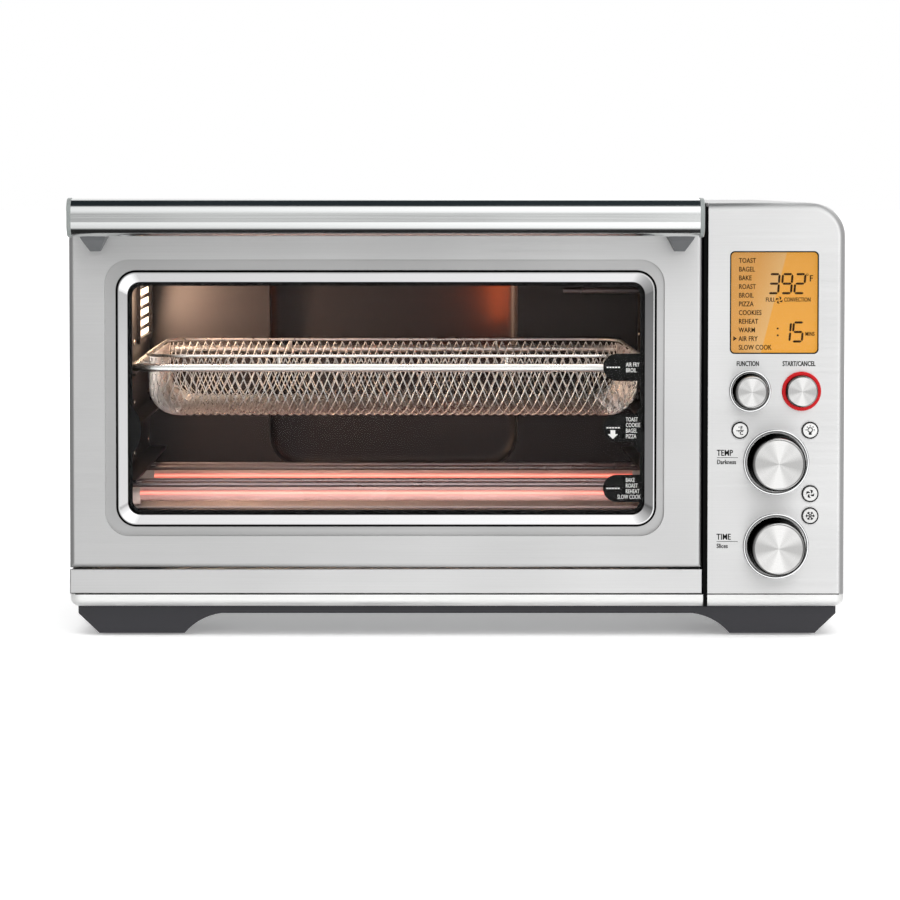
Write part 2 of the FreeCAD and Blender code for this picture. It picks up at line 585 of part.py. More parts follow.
# ---- Cavity ----
def make_cavity():
    """Cavity liner, back wall with its bulge, rack rails, fan housing and cover."""
    outer = box(CAV_X0 - LINER_T, CAV_X1 + LINER_T, Y_LINER, CAV_Y1,
                CAVITY_FLOOR - LINER_T, CAV_TOP + LINER_T)
    inner = box(CAV_X0, CAV_X1, Y_LINER - 1, CAV_Y1 + 1, CAVITY_FLOOR, CAV_TOP)
    slot = box(CAV_X0 + CRUMB_SLOT_MARGIN, CAV_X1 - CRUMB_SLOT_MARGIN, Y_LINER + CRUMB_SLOT_MARGIN,
               CAV_Y1 - CRUMB_SLOT_MARGIN, CAVITY_FLOOR - 2, CAVITY_FLOOR + 1)
    fan_hole = tube_x(FAN_Y, FAN_Z, FAN_COVER_R, CAV_X1 - 1, CAV_X1 + 2)
    lamp_hole = box(CAV_X0 - 2, CAV_X0 + 1, LAMP_Y - LAMP_LENGTH / 2, LAMP_Y + LAMP_LENGTH / 2,
                    LAMP_Z - LAMP_HEIGHT / 2, LAMP_Z + LAMP_HEIGHT / 2)
    save("cavity_liner", cut_all(outer.cut(inner), [slot, fan_hole, lamp_hole]))

    bulge_x0, bulge_x1 = CAV_MID - BULGE_WIDTH / 2, CAV_MID + BULGE_WIDTH / 2
    bulge_top = CAV_TOP - 8
    wall = box(CAV_X0 - LINER_T, CAV_X1 + LINER_T, CAV_Y1, CAV_Y1 + LINER_T,
               CAVITY_FLOOR - LINER_T, CAV_TOP + LINER_T)
    pan = plate_y(bulge_x0, bulge_x1, BULGE_BOTTOM, bulge_top, BULGE_R, CAV_Y1, CAV_Y1 + BULGE_DEPTH)
    back = edges_where(pan, lambda p: abs(p.y - CAV_Y1 - BULGE_DEPTH) < 0.01)
    pan = pan.makeFillet(8.0, back)
    hollow = plate_y(bulge_x0 + LINER_T, bulge_x1 - LINER_T, BULGE_BOTTOM + LINER_T, bulge_top - LINER_T,
                     BULGE_R - LINER_T, CAV_Y1 - 1, CAV_Y1 + BULGE_DEPTH - LINER_T)
    back = edges_where(hollow, lambda p: abs(p.y - CAV_Y1 - BULGE_DEPTH + LINER_T) < 0.01)
    hollow = hollow.makeFillet(8.0 - LINER_T, back)
    save("cavity_back", joined([wall, pan]).cut(hollow))

    rails = []
    for z in RAIL_HEIGHTS:
        for x0, x1, wall_x in ((CAV_X0, CAV_X0 + RAIL_WIDTH, CAV_X0), (CAV_X1 - RAIL_WIDTH, CAV_X1, CAV_X1)):
            ledge = box(x0, x1, Y_LINER + 4, CAV_Y1 - 6, z - RAIL_T / 2, z + RAIL_T / 2)
            riser_x0 = min(wall_x, wall_x + (1.2 if wall_x == CAV_X0 else -1.2))
            riser = box(riser_x0, riser_x0 + 1.2, Y_LINER + 4, CAV_Y1 - 6, z - RAIL_RISER, z)
            rails.append(joined([ledge, riser]))
    save("rack_rails", rails)

    drum = tube_x(FAN_Y, FAN_Z, FAN_COVER_R + 2, CAV_X1 + LINER_T, CAV_X1 + LINER_T + HOUSING_DEPTH)
    room = tube_x(FAN_Y, FAN_Z, FAN_COVER_R, CAV_X1, CAV_X1 + LINER_T + HOUSING_DEPTH - 1)
    axle = tube_x(FAN_Y, FAN_Z, SHAFT_R + 2, CAV_X1, CAV_X1 + LINER_T + HOUSING_DEPTH + 1)
    housing = cut_all(drum, [room, axle])

    cover = tube_x(FAN_Y, FAN_Z, FAN_COVER_R, CAV_X1, CAV_X1 + LINER_T)
    holes = [tube_x(FAN_Y, FAN_Z, 2.2, CAV_X1 - 1, CAV_X1 + 2)]
    for ring in range(1, 6):
        count = 6 * ring
        for i in range(count):
            angle = 2 * math.pi * i / count
            holes.append(tube_x(FAN_Y + 6.6 * ring * math.cos(angle), FAN_Z + 6.6 * ring * math.sin(angle),
                                2.2, CAV_X1 - 1, CAV_X1 + 2))
    save("fan_cover", [cut_all(cover, holes), housing])

    lens = box(CAV_X0 - LINER_T, CAV_X0, LAMP_Y - LAMP_LENGTH / 2, LAMP_Y + LAMP_LENGTH / 2,
               LAMP_Z - LAMP_HEIGHT / 2, LAMP_Z + LAMP_HEIGHT / 2)
    save("lamp_lens", lens)
    bulb = Part.makeSphere(6, FreeCAD.Vector(CAV_X0 - 12, LAMP_Y + 10, LAMP_Z))
    neck = Part.makeCylinder(4, 22, FreeCAD.Vector(CAV_X0 - 12, LAMP_Y + 12, LAMP_Z), FreeCAD.Vector(0, 1, 0))
    socket_end = FreeCAD.Vector(CAV_X0 - 12, LAMP_Y + 34, LAMP_Z)
    socket = Part.makeCylinder(7, 12, socket_end, FreeCAD.Vector(0, 1, 0))
    save("oven_lamp", joined([bulb, neck, socket]))


def make_heating():
    """Quartz elements in ceramic ends, guard rods, reflectors, probe and insulation."""
    tubes, holders, guards, reflectors = [], [], [], []
    half = HOLDER_SIZE / 2
    for z, away in ((ELEMENT_LOW, 1), (ELEMENT_HIGH, -1)):
        for y in ELEMENTS_Y:
            tubes.append(tube_x(y, z, ELEMENT_R, CAV_X0 + 1, CAV_X1 - 1))
            for x0, x1 in ((CAV_X0, CAV_X0 + HOLDER_LENGTH), (CAV_X1 - HOLDER_LENGTH, CAV_X1)):
                block = box(x0, x1, y - half, y + half, z - half, z + half)
                block = block.makeFillet(2.0, along(block, 0))
                holders.append(block.cut(tube_x(y, z, ELEMENT_R, CAV_X0 + 1, CAV_X1 - 1)))
            for dy in (-GUARD_OFFSET, GUARD_OFFSET):
                guards.append(tube_x(y + dy, z + away * 6.5, GUARD_R, CAV_X0, CAV_X1))
        for y in ELEMENTS_Y:
            level = z - away * REFLECTOR_DROP
            wing = REFLECTOR_WIDTH / 2
            fold = 5.0 * away
            reflectors.append(prism_x([
                (y - wing, level + fold), (y - wing / 2, level),
                (y + wing / 2, level), (y + wing, level + fold),
                (y + wing, level + fold - 0.8), (y + wing / 2, level - 0.8), (y - wing / 2, level - 0.8),
                (y - wing, level + fold - 0.8)], CAV_X0, CAV_X1))
    save("heating_elements", tubes)
    save("element_holders", holders)
    save("element_guards", guards)
    save("element_reflectors", reflectors)
    probe = joined([
        tube_x(CAV_Y1 - 40, CAV_TOP - 40, 2.0, CAV_X1 - 55, CAV_X1),
        tube_x(CAV_Y1 - 40, CAV_TOP - 40, 5.0, CAV_X1 - 2, CAV_X1),
    ])
    save("temperature_probe", probe)
    top = box(CAV_X0, CAV_X1, Y_LINER + 4, CAV_Y1, CAV_TOP + LINER_T, CAV_TOP + LINER_T + 10)
    rear = box(CAV_X0, CAV_MID - BULGE_WIDTH / 2 - 4, CAV_Y1 + LINER_T, CAV_Y1 + LINER_T + 10,
               CAVITY_FLOOR + 10, CAV_TOP)
    save("insulation", [top, rear])


def make_bay():
    """Fan motor, fan rotor, and power board with its parts."""
    x0 = X_STRIP
    half = MOTOR_SIZE / 2
    stack = box(x0, x0 + 22, FAN_Y - half, FAN_Y + half, FAN_Z - half, FAN_Z + half)
    stack = stack.makeFillet(6.0, along(stack, 0))
    bell = tube_x(FAN_Y, FAN_Z, 17, x0 + 22, x0 + MOTOR_LENGTH)
    bore = tube_x(FAN_Y, FAN_Z, SHAFT_R + SHAFT_CLEAR, x0 - 1, x0 + MOTOR_LENGTH + 1)
    save("fan_motor", joined([stack, bell]).cut(bore))

    hub_x = CAV_X1 + LINER_T + 2
    shaft = tube_x(FAN_Y, FAN_Z, SHAFT_R, hub_x, x0 + MOTOR_LENGTH + 12)
    disc = tube_x(FAN_Y, FAN_Z, IMPELLER_R, hub_x, hub_x + 1.2)
    wheel = [disc]
    for i in range(FAN_BLADES):
        blade = box(hub_x + 1.2, hub_x + 9, -0.6, 0.6, 10, IMPELLER_R)
        blade.rotate(FreeCAD.Vector(0, 0, 0), FreeCAD.Vector(1, 0, 0), 360.0 * i / FAN_BLADES)
        blade.translate(FreeCAD.Vector(0, FAN_Y, FAN_Z))
        wheel.append(blade)
    impeller = joined(wheel).cut(tube_x(FAN_Y, FAN_Z, SHAFT_R, hub_x - 1, hub_x + 12))
    cool_x = x0 + MOTOR_LENGTH + 4
    cooling = [tube_x(FAN_Y, FAN_Z, 8, cool_x, cool_x + 7)]
    for i in range(5):
        blade = box(cool_x + 2, cool_x + 3.4, -8, 8, 5, COOLING_BLADE_R)
        blade.rotate(FreeCAD.Vector(cool_x + 3, 0, 0), FreeCAD.Vector(0, 0, 1), 14)
        blade.rotate(FreeCAD.Vector(0, 0, 0), FreeCAD.Vector(1, 0, 0), 72.0 * i)
        blade.translate(FreeCAD.Vector(0, FAN_Y, FAN_Z))
        cooling.append(blade)
    cooling_fan = joined(cooling).cut(tube_x(FAN_Y, FAN_Z, SHAFT_R, cool_x - 1, cool_x + 9))
    save("fan_rotor", [shaft, impeller, cooling_fan])

    board_x = X_RIGHT - 14
    board = box(board_x, board_x + 1.6, Y_BACK - 120, Y_BACK - 20, Z_BODY + 55, Z_BODY + 190)
    parts = [board]
    parts.append(box(board_x - 34, board_x, Y_BACK - 110, Y_BACK - 72, Z_BODY + 65, Z_BODY + 100))
    for i in range(3):
        z = Z_BODY + 112 + 25 * i
        parts.append(box(board_x - 16, board_x, Y_BACK - 112, Y_BACK - 84, z, z + 16))
    for i in range(2):
        can = Part.makeCylinder(8, 22, FreeCAD.Vector(board_x - 22, Y_BACK - 50, Z_BODY + 80 + 28 * i),
                                FreeCAD.Vector(1, 0, 0))
        parts.append(can)
    parts.append(box(board_x - 14, board_x, Y_BACK - 62, Y_BACK - 26, Z_BODY + 150, Z_BODY + 178))
    save("power_board", parts)


# ---- Control panel ----
def panel_prism(inset, y0, y1, edge):
    """Panel outline pulled in by inset, with its outer front edges rounded."""
    shape = top_rounded(X_PANEL + inset, X_RIGHT - inset, Z_BODY + inset, BODY_TOP - inset, CORNER_R - inset,
                        y0, y1, False, True)
    front = edges_where(shape, lambda p: abs(p.y - y0) < 0.01)
    rounded = []
    for e in front:
        middle = e.valueAt((e.FirstParameter + e.LastParameter) / 2)
        if middle.x > X_PANEL + inset + 1 and middle.z > Z_BODY + inset + 1:
            rounded.append(e)
    return shape.makeFillet(edge, rounded)


def make_panel():
    """Brushed panel, carrier, display, board, encoders, switches and rings."""
    shell = panel_prism(0.0, Y_FACE, Y_FRAME, EDGE_ROUND)
    shell = shell.cut(panel_prism(PANEL_T, Y_FACE + PANEL_T, Y_FRAME + 1, EDGE_ROUND - PANEL_T))
    lcd_x1 = X_RIGHT - LCD_RIGHT
    lcd_x0 = lcd_x1 - LCD_WIDTH
    lcd_z1 = BODY_TOP - LCD_TOP_DROP
    lcd_z0 = lcd_z1 - LCD_HEIGHT
    holes = [plate_y(lcd_x0, lcd_x1, lcd_z0, lcd_z1, LCD_R, Y_FACE - 1, Y_FACE + PANEL_T + 1)]
    for x, z, _ in KNOBS.values():
        holes.append(tube_y(x, z, SHAFT_R + 2, Y_FACE - 1, Y_FACE + PANEL_T + 1))
    start_hole_r = START_BUTTON_R + BUTTON_GAP
    holes.append(tube_y(START_X, FUNCTION_KNOB_Z, start_hole_r, Y_FACE - 1, Y_FACE + PANEL_T + 1))
    for right, z in SMALL_BUTTONS.values():
        holes.append(tube_y(X_RIGHT - right, z, BUTTON_R + BUTTON_GAP, Y_FACE - 1, Y_FACE + PANEL_T + 1))
    save("control_panel", cut_all(shell, holes))

    y_back = Y_FACE + PANEL_T
    window = plate_y(lcd_x0 + 0.1, lcd_x1 - 0.1, lcd_z0 + 0.1, lcd_z1 - 0.1, LCD_R - 0.1,
                     Y_FACE + 0.3, y_back + 1)
    flange = box(lcd_x0 - 3, lcd_x1 + 3, y_back, y_back + 1.5, lcd_z0 - 3, lcd_z1 + 3)
    save("lcd_window", joined([window, flange]))
    save("lcd_module", box(lcd_x0 - 3, lcd_x1 + 3, y_back + 1.5, Y_CARRIER, lcd_z0 - 3, lcd_z1 + 3))

    y_carrier_back = Y_CARRIER + CARRIER_T
    stem_hole_r = STEM_R + STEM_CLEAR
    carrier = box(X_PANEL + PANEL_T, X_RIGHT - PANEL_T, Y_CARRIER, y_carrier_back, Z_BODY + 8, lcd_z1 + 6)
    tools = []
    for x, z, _ in KNOBS.values():
        tools.append(tube_y(x, z, SHAFT_R + 2, Y_CARRIER - 1, Y_CARRIER + CARRIER_T + 1))
    tools.append(tube_y(START_X, FUNCTION_KNOB_Z, stem_hole_r, Y_CARRIER - 1, y_carrier_back + 1))
    for right, z in SMALL_BUTTONS.values():
        tools.append(tube_y(X_RIGHT - right, z, stem_hole_r, Y_CARRIER - 1, y_carrier_back + 1))
    posts = []
    for x in (X_PANEL + 8, X_RIGHT - 8):
        for z in (Z_BODY + 14, lcd_z0 - 8):
            posts.append(tube_y(x, z, 3, Y_CARRIER + CARRIER_T, Y_BOARD))
    save("panel_carrier", cut_all(joined([carrier] + posts), tools))
    save("control_board", box(X_PANEL + 4, X_RIGHT - 4, Y_BOARD, Y_BOARD + BOARD_T, Z_BODY + 10, lcd_z0 - 4))

    encoders = []
    for x, z, _ in KNOBS.values():
        body = box(x - 6.5, x + 6.5, Y_CARRIER + CARRIER_T, Y_BOARD, z - 6.5, z + 6.5)
        bush = tube_y(x, z, SHAFT_R + 1.5, Y_CARRIER - 2, Y_CARRIER + CARRIER_T)
        bore = tube_y(x, z, SHAFT_R + SHAFT_CLEAR, Y_CARRIER - 3, Y_BOARD - 2)
        encoders.append(joined([body, bush]).cut(bore))
    save("rotary_encoders", encoders)

    switches = []
    for x, z in [(START_X, FUNCTION_KNOB_Z)] + [(X_RIGHT - right, z) for right, z in SMALL_BUTTONS.values()]:
        switches.append(joined([
            box(x - 3, x + 3, Y_BOARD - 4, Y_BOARD, z - 3, z + 3),
            tube_y(x, z, 1.7, Y_BOARD - 5, Y_BOARD - 4),
        ]))
    save("button_switches", switches)

    rings = []
    for x, z, (_, _, _, ring_r) in KNOBS.values():
        ring = ring_y(x, z, ring_r, ring_r - RING_T, Y_FACE - RING_PROUD, Y_FACE)
        rings.append(ring.makeFillet(0.5, edges_where(ring, lambda p: p.y < Y_FACE - RING_PROUD + 0.01)))
    save("knob_rings", rings)
    start_ring = ring_y(START_X, FUNCTION_KNOB_Z, START_RING_R, START_RING_R - START_RING_T,
                        Y_FACE - RING_PROUD, Y_FACE)
    front = edges_where(start_ring, lambda p: p.y < Y_FACE - RING_PROUD + 0.01)
    save("start_ring", start_ring.makeFillet(0.5, front))


def make_knobs():
    """Turned knobs, each with its shaft in one piece."""
    for name, (x, z, (r, height, bevel, _)) in KNOBS.items():
        back = Y_FACE - KNOB_LIFT
        front = back - height
        profile = [
            (0, Y_BOARD - 3), (SHAFT_R, Y_BOARD - 3), (SHAFT_R, back), (r - 0.6, back), (r, back - 0.8),
            (r - KNOB_TAPER * height / BIG_KNOB_H, front + 1.4 * bevel), (r - bevel - 0.3, front + 0.2),
            (r - bevel - 0.7, front),
            (r - bevel - 1.3, front + 0.35), (0, front + 0.35),
        ]
        save(name, revolved_y(profile, x, z))


def button(x, z, r, proud, travel):
    """Push button with a retaining flange and a stem."""
    front = Y_FACE - proud
    flange = Y_FACE + PANEL_T + 0.5
    stem_end = Y_BOARD - 5 - travel - STOP_GAP
    profile = [
        (0, stem_end), (STEM_R, stem_end), (STEM_R, flange + 1.5),
        (r + FLANGE_LIP, flange + 1.5), (r + FLANGE_LIP, flange),
        (r, flange), (r, front + 0.8), (r - 0.8, front), (0, front),
    ]
    return revolved_y(profile, x, z)


def make_buttons():
    """Start button and four small round buttons."""
    save("start_button", button(START_X, FUNCTION_KNOB_Z, START_BUTTON_R, START_PROUD, START_TRAVEL))
    for name, (right, z) in SMALL_BUTTONS.items():
        save(name, button(X_RIGHT - right, z, BUTTON_R, BUTTON_PROUD, BUTTON_TRAVEL))


# ---- Door ----
def make_door():
    """Door skin, window bezel, two panes, inner frame with hinge ears."""
    outer = top_rounded(X_LEFT, X_DOOR, DOOR_BOTTOM, DOOR_TOP, CORNER_R, Y_FACE, Y_SKIN_BACK, True, False)
    outer = outer.makeFillet(SKIN_ROUND, edges_where(outer, lambda p: abs(p.y - Y_FACE) < 0.01))
    inner = top_rounded(X_LEFT + SKIN_T, X_DOOR - SKIN_T, DOOR_BOTTOM + SKIN_T, DOOR_TOP - SKIN_T,
                        CORNER_R - SKIN_T, Y_FACE + SKIN_T, Y_SKIN_BACK + 1, True, False)
    inner_front = edges_where(inner, lambda p: abs(p.y - Y_FACE - SKIN_T) < 0.01)
    inner = inner.makeFillet(SKIN_ROUND - SKIN_T, inner_front)
    keep = plate_y(REC_X0 - SKIN_T, REC_X1 + SKIN_T, REC_Z0 - SKIN_T, REC_Z1 + SKIN_T, RECESS_R + SKIN_T,
                   Y_FACE, Y_RECESS + SKIN_T)
    recess = plate_y(REC_X0, REC_X1, REC_Z0, REC_Z1, RECESS_R, Y_FACE - 1, Y_RECESS)
    mouth = plate_y(BEZ_X0 - BEZEL_GAP, BEZ_X1 + BEZEL_GAP, BEZ_Z0 - BEZEL_GAP, BEZ_Z1 + BEZEL_GAP,
                    BEZEL_R + BEZEL_GAP, Y_FACE - 1, Y_SKIN_BACK)
    notches, screws = [], []
    for x, side in HINGES:
        x0, x1 = sorted((x - side * (ARM_T / 2 + EAR_GAP), x + side * (ARM_T / 2 + COIL_ROOM)))
        z_notch = HINGE_Z + ARM_R + 3
        notches.append(box(x0, x1, HINGE_Y - ARM_R - 1, Y_DOOR_BACK + 1, DOOR_BOTTOM - 1, z_notch))
    for x in BRACKETS:
        for z in (DOOR_TOP - 10, DOOR_TOP - 20):
            screws.append(tube_y(x, z, HANDLE_SCREW_R, Y_FACE - 1, Y_FACE + SKIN_T + 1))
    skin = cut_all(outer.cut(inner.cut(keep)), [recess, mouth] + screws)
    flange_notches = []
    for notch in notches:
        b = notch.BoundBox
        z_flange = DOOR_BOTTOM + SKIN_T + 1
        flange_notches.append(box(b.XMin, b.XMax, b.YMin, Y_SKIN_BACK + 1, DOOR_BOTTOM - 1, z_flange))
    save("door_skin", cut_all(skin, flange_notches))

    y_flange = Y_RECESS + SKIN_T
    ring = plate_y(BEZ_X0, BEZ_X1, BEZ_Z0, BEZ_Z1, BEZEL_R, Y_RECESS - BEZEL_PROUD, Y_GLASS)
    ring = ring.makeFillet(1.2, edges_where(ring, lambda p: p.y < Y_RECESS - BEZEL_PROUD + 0.01))
    lip = plate_y(BEZ_X0 - GLASS_LAP, BEZ_X1 + GLASS_LAP, BEZ_Z0 - GLASS_LAP, BEZ_Z1 + GLASS_LAP,
                  BEZEL_R, y_flange, Y_GLASS)
    see = plate_y(BEZ_X0 + BEZEL_WIDTH, BEZ_X1 - BEZEL_WIDTH, BEZ_Z0 + BEZEL_WIDTH, BEZ_Z1 - BEZEL_WIDTH,
                  BEZEL_R - 4, Y_RECESS - BEZEL_PROUD - 1, Y_GLASS + 1)
    slope_rim = plate_y(BEZ_X0 + BEZEL_RIM, BEZ_X1 - BEZEL_RIM, BEZ_Z0 + BEZEL_RIM, BEZ_Z1 - BEZEL_RIM,
                        BEZEL_R - BEZEL_RIM, Y_RECESS - BEZEL_PROUD - 1, Y_RECESS - BEZEL_PROUD)
    slope_end = plate_y(BEZ_X0 + BEZEL_WIDTH, BEZ_X1 - BEZEL_WIDTH, BEZ_Z0 + BEZEL_WIDTH,
                        BEZ_Z1 - BEZEL_WIDTH, BEZEL_R - 4, Y_RECESS - BEZEL_PROUD - 1,
                        Y_RECESS - BEZEL_PROUD + BEZEL_SLOPE)
    slope = Part.makeLoft([back_wire(slope_rim), back_wire(slope_end)], True)
    save("window_bezel", cut_all(joined([ring, lip]), [see, slope]))
    save("door_glass", plate_y(BEZ_X0 - GLASS_LAP, BEZ_X1 + GLASS_LAP, BEZ_Z0 - GLASS_LAP, BEZ_Z1 + GLASS_LAP,
                               BEZEL_R, Y_GLASS, Y_GLASS + GLASS_T))

    x0, x1 = BEZ_X0 + BEZEL_WIDTH - 2, BEZ_X1 - BEZEL_WIDTH + 2
    z0, z1 = BEZ_Z0 + BEZEL_WIDTH - 2, BEZ_Z1 - BEZEL_WIDTH + 2
    plate = top_rounded(X_LEFT + SKIN_T, X_DOOR - SKIN_T, DOOR_BOTTOM + HINGE_UP / 2, DOOR_TOP - SKIN_T,
                        CORNER_R - SKIN_T, Y_SKIN_BACK - 2, Y_DOOR_BACK, True, False)
    hollow = top_rounded(X_LEFT + 2 * SKIN_T, X_DOOR - 2 * SKIN_T, DOOR_BOTTOM + HINGE_UP / 2 - 1,
                         DOOR_TOP - 2 * SKIN_T, CORNER_R - 2 * SKIN_T, Y_SKIN_BACK - 3, Y_INNER_PLATE,
                         True, False)
    tube = plate_y(x0 - SKIN_T, x1 + SKIN_T, z0 - SKIN_T, z1 + SKIN_T, SEE_R + SKIN_T,
                   Y_GLASS + GLASS_T, Y_INNER_PLATE + 0.5)
    see = plate_y(x0, x1, z0, z1, SEE_R, Y_FACE, Y_DOOR_BACK + 1)
    pieces = [plate.cut(hollow), tube]
    bores = []
    for x, side in HINGES:
        spans = sorted((x - side * (ARM_T / 2 + EAR_GAP), x - side * (ARM_T / 2 + EAR_GAP + EAR_T)))
        inner_spans = sorted((x + side * (ARM_T / 2 + COIL_ROOM), x + side * (ARM_T / 2 + COIL_ROOM + EAR_T)))
        for e0, e1 in (spans, inner_spans):
            eye = tube_x(HINGE_Y, HINGE_Z, 6.0, e0, e1)
            web = box(e0, e1, HINGE_Y, Y_INNER_PLATE + 0.5, HINGE_Z - 4, HINGE_Z + 6)
            pieces.append(joined([eye, web]))
            bores.append(tube_x(HINGE_Y, HINGE_Z, PIN_R + PIN_CLEAR, e0 - 0.5, e1 + 0.5))
    frame = cut_all(joined(pieces), [see] + notches)
    save("door_inner_frame", cut_all(frame, bores))
    save("inner_glass", plate_y(x0, x1, z0, z1, SEE_R, Y_INNER_PLATE - INNER_GLASS_T - 1, Y_INNER_PLATE - 1))


def make_hinges():
    """Fixed hinge arms, pins and torsion springs."""
    arms, pins, springs = [], [], []
    for x, side in HINGES:
        eye = tube_x(HINGE_Y, HINGE_Z, ARM_R, x - ARM_T / 2, x + ARM_T / 2)
        web = box(x - ARM_T / 2, x + ARM_T / 2, HINGE_Y, Y_LINER + 1, HINGE_Z - ARM_R, HINGE_Z + ARM_R)
        foot_plate = box(x - 6.5, x + 6.5, Y_LINER, Y_LINER + 2, HINGE_Z - 6.2, HINGE_Z + 7)
        arm = joined([eye, web, foot_plate])
        arms.append(arm.cut(tube_x(HINGE_Y, HINGE_Z, PIN_R, x - 4, x + 4)))
        outer_end = x - side * (ARM_T / 2 + EAR_GAP + EAR_T + 1)
        inner_end = x + side * (ARM_T / 2 + COIL_ROOM + EAR_T + 1)
        p0, p1 = sorted((outer_end, inner_end))
        pins.append(tube_x(HINGE_Y, HINGE_Z, PIN_R, p0, p1))
        mean = PIN_R + 0.5 + COIL_WIRE_R
        length = COIL_TURNS * (2 * COIL_WIRE_R + 0.25)
        helix = Part.makeHelix(length / COIL_TURNS, length, mean)
        profile = Part.Wire(Part.makeCircle(COIL_WIRE_R, FreeCAD.Vector(mean, 0, 0), FreeCAD.Vector(0, 1, 0)))
        coil = Part.Wire(helix).makePipeShell([profile], True, True)
        coil.rotate(FreeCAD.Vector(0, 0, 0), FreeCAD.Vector(0, 1, 0), 90)
        start = x + side * (ARM_T / 2 + 1.2)
        coil.translate(FreeCAD.Vector(start if side > 0 else start - length, HINGE_Y, HINGE_Z))
        springs.append(coil)
    save("hinge_arms", arms)
    save("hinge_pins", pins)
    save("hinge_springs", springs)


def make_handle():
    """Flattened oval bar, end caps, brackets and screws."""
    def oval(x0, x1, grow):
        inset = CAP_MARGIN - grow
        shape = box(x0, x1, Y_HANDLE + inset, Y_BAR_BACK - inset, HANDLE_BOTTOM + inset, HANDLE_TOP - inset)
        return shape.makeFillet(HANDLE_ROUND + min(0, grow), along(shape, 0))

    bar = oval(HANDLE_X0 + CAP_T, HANDLE_X1 - CAP_T, 0.0)
    hollow = oval(HANDLE_X0 + CAP_T - 1, HANDLE_X1 - CAP_T + 1, -HANDLE_WALL)
    save("handle_bar", bar.cut(hollow))
    caps = []
    ends = ((HANDLE_X0, HANDLE_X0 + CAP_T, HANDLE_X0), (HANDLE_X1 - CAP_T, HANDLE_X1, HANDLE_X1))
    for x0, x1, face in ends:
        cap = oval(x0, x1, CAP_MARGIN)
        caps.append(cap.makeFillet(0.9, edges_where(cap, lambda p: abs(p.x - face) < 0.01)))
    save("handle_caps", caps)

    arms, screws = [], []
    for x in BRACKETS:
        low = HANDLE_BOTTOM - BRACKET_DROP
        side_view = prism_x([
            (Y_FACE, low), (Y_FACE, DOOR_TOP - 4), (Y_BAR_BACK - 4, HANDLE_TOP - 6),
            (Y_BAR_BACK - 4, HANDLE_BOTTOM + 4), (Y_BAR_BACK - 1, HANDLE_BOTTOM - 2), (Y_FACE - 8, low)],
            x - BRACKET_WIDTH / 2, x + BRACKET_WIDTH / 2)
        front_view = prism_y([
            (x - BRACKET_WIDTH / 2, HANDLE_TOP), (x + BRACKET_WIDTH / 2, HANDLE_TOP),
            (x + BRACKET_WIDTH / 2, HANDLE_BOTTOM), (x + BRACKET_TIP / 2, low),
            (x - BRACKET_TIP / 2, low), (x - BRACKET_WIDTH / 2, HANDLE_BOTTOM)], Y_HANDLE, Y_FACE)
        arm = side_view.common(front_view).cut(oval(HANDLE_X0 + CAP_T, HANDLE_X1 - CAP_T, 0.0))
        drilled = []
        for z in (DOOR_TOP - 10, DOOR_TOP - 20):
            drilled.append(tube_y(x, z, HANDLE_SCREW_R, Y_FACE - 9, Y_FACE + 1))
            screw = joined([
                tube_y(x, z, HANDLE_SCREW_R, Y_FACE - 9, Y_FACE + SKIN_T),
                tube_y(x, z, HANDLE_SCREW_R * 1.9, Y_FACE + SKIN_T, Y_FACE + SKIN_T + 2.4),
            ])
            screws.append(screw)
        arms.append(cut_all(arm, drilled))
    save("handle_brackets", arms)
    save("handle_screws", screws)


# ---- Basket and crumb tray ----
def rod_loop(x0, x1, y0, y1, r, corner, z):
    """Closed loop of round rod."""
    straight = [
        tube_x(y0, z, r, x0 + corner, x1 - corner), tube_x(y1, z, r, x0 + corner, x1 - corner),
        tube_y(x0, z, r, y0 + corner, y1 - corner), tube_y(x1, z, r, y0 + corner, y1 - corner),
    ]
    bends = []
    for x, y, start in ((x1 - corner, y1 - corner, 0), (x0 + corner, y1 - corner, 90),
                        (x0 + corner, y0 + corner, 180), (x1 - corner, y0 + corner, 270)):
        bend = Part.makeTorus(corner, r, FreeCAD.Vector(0, 0, 0), FreeCAD.Vector(0, 0, 1), 0, 360, 90)
        bend.rotate(FreeCAD.Vector(0, 0, 0), FreeCAD.Vector(0, 0, 1), start)
        bend.translate(FreeCAD.Vector(x, y, z))
        bends.append(bend)
    return joined(straight + bends)


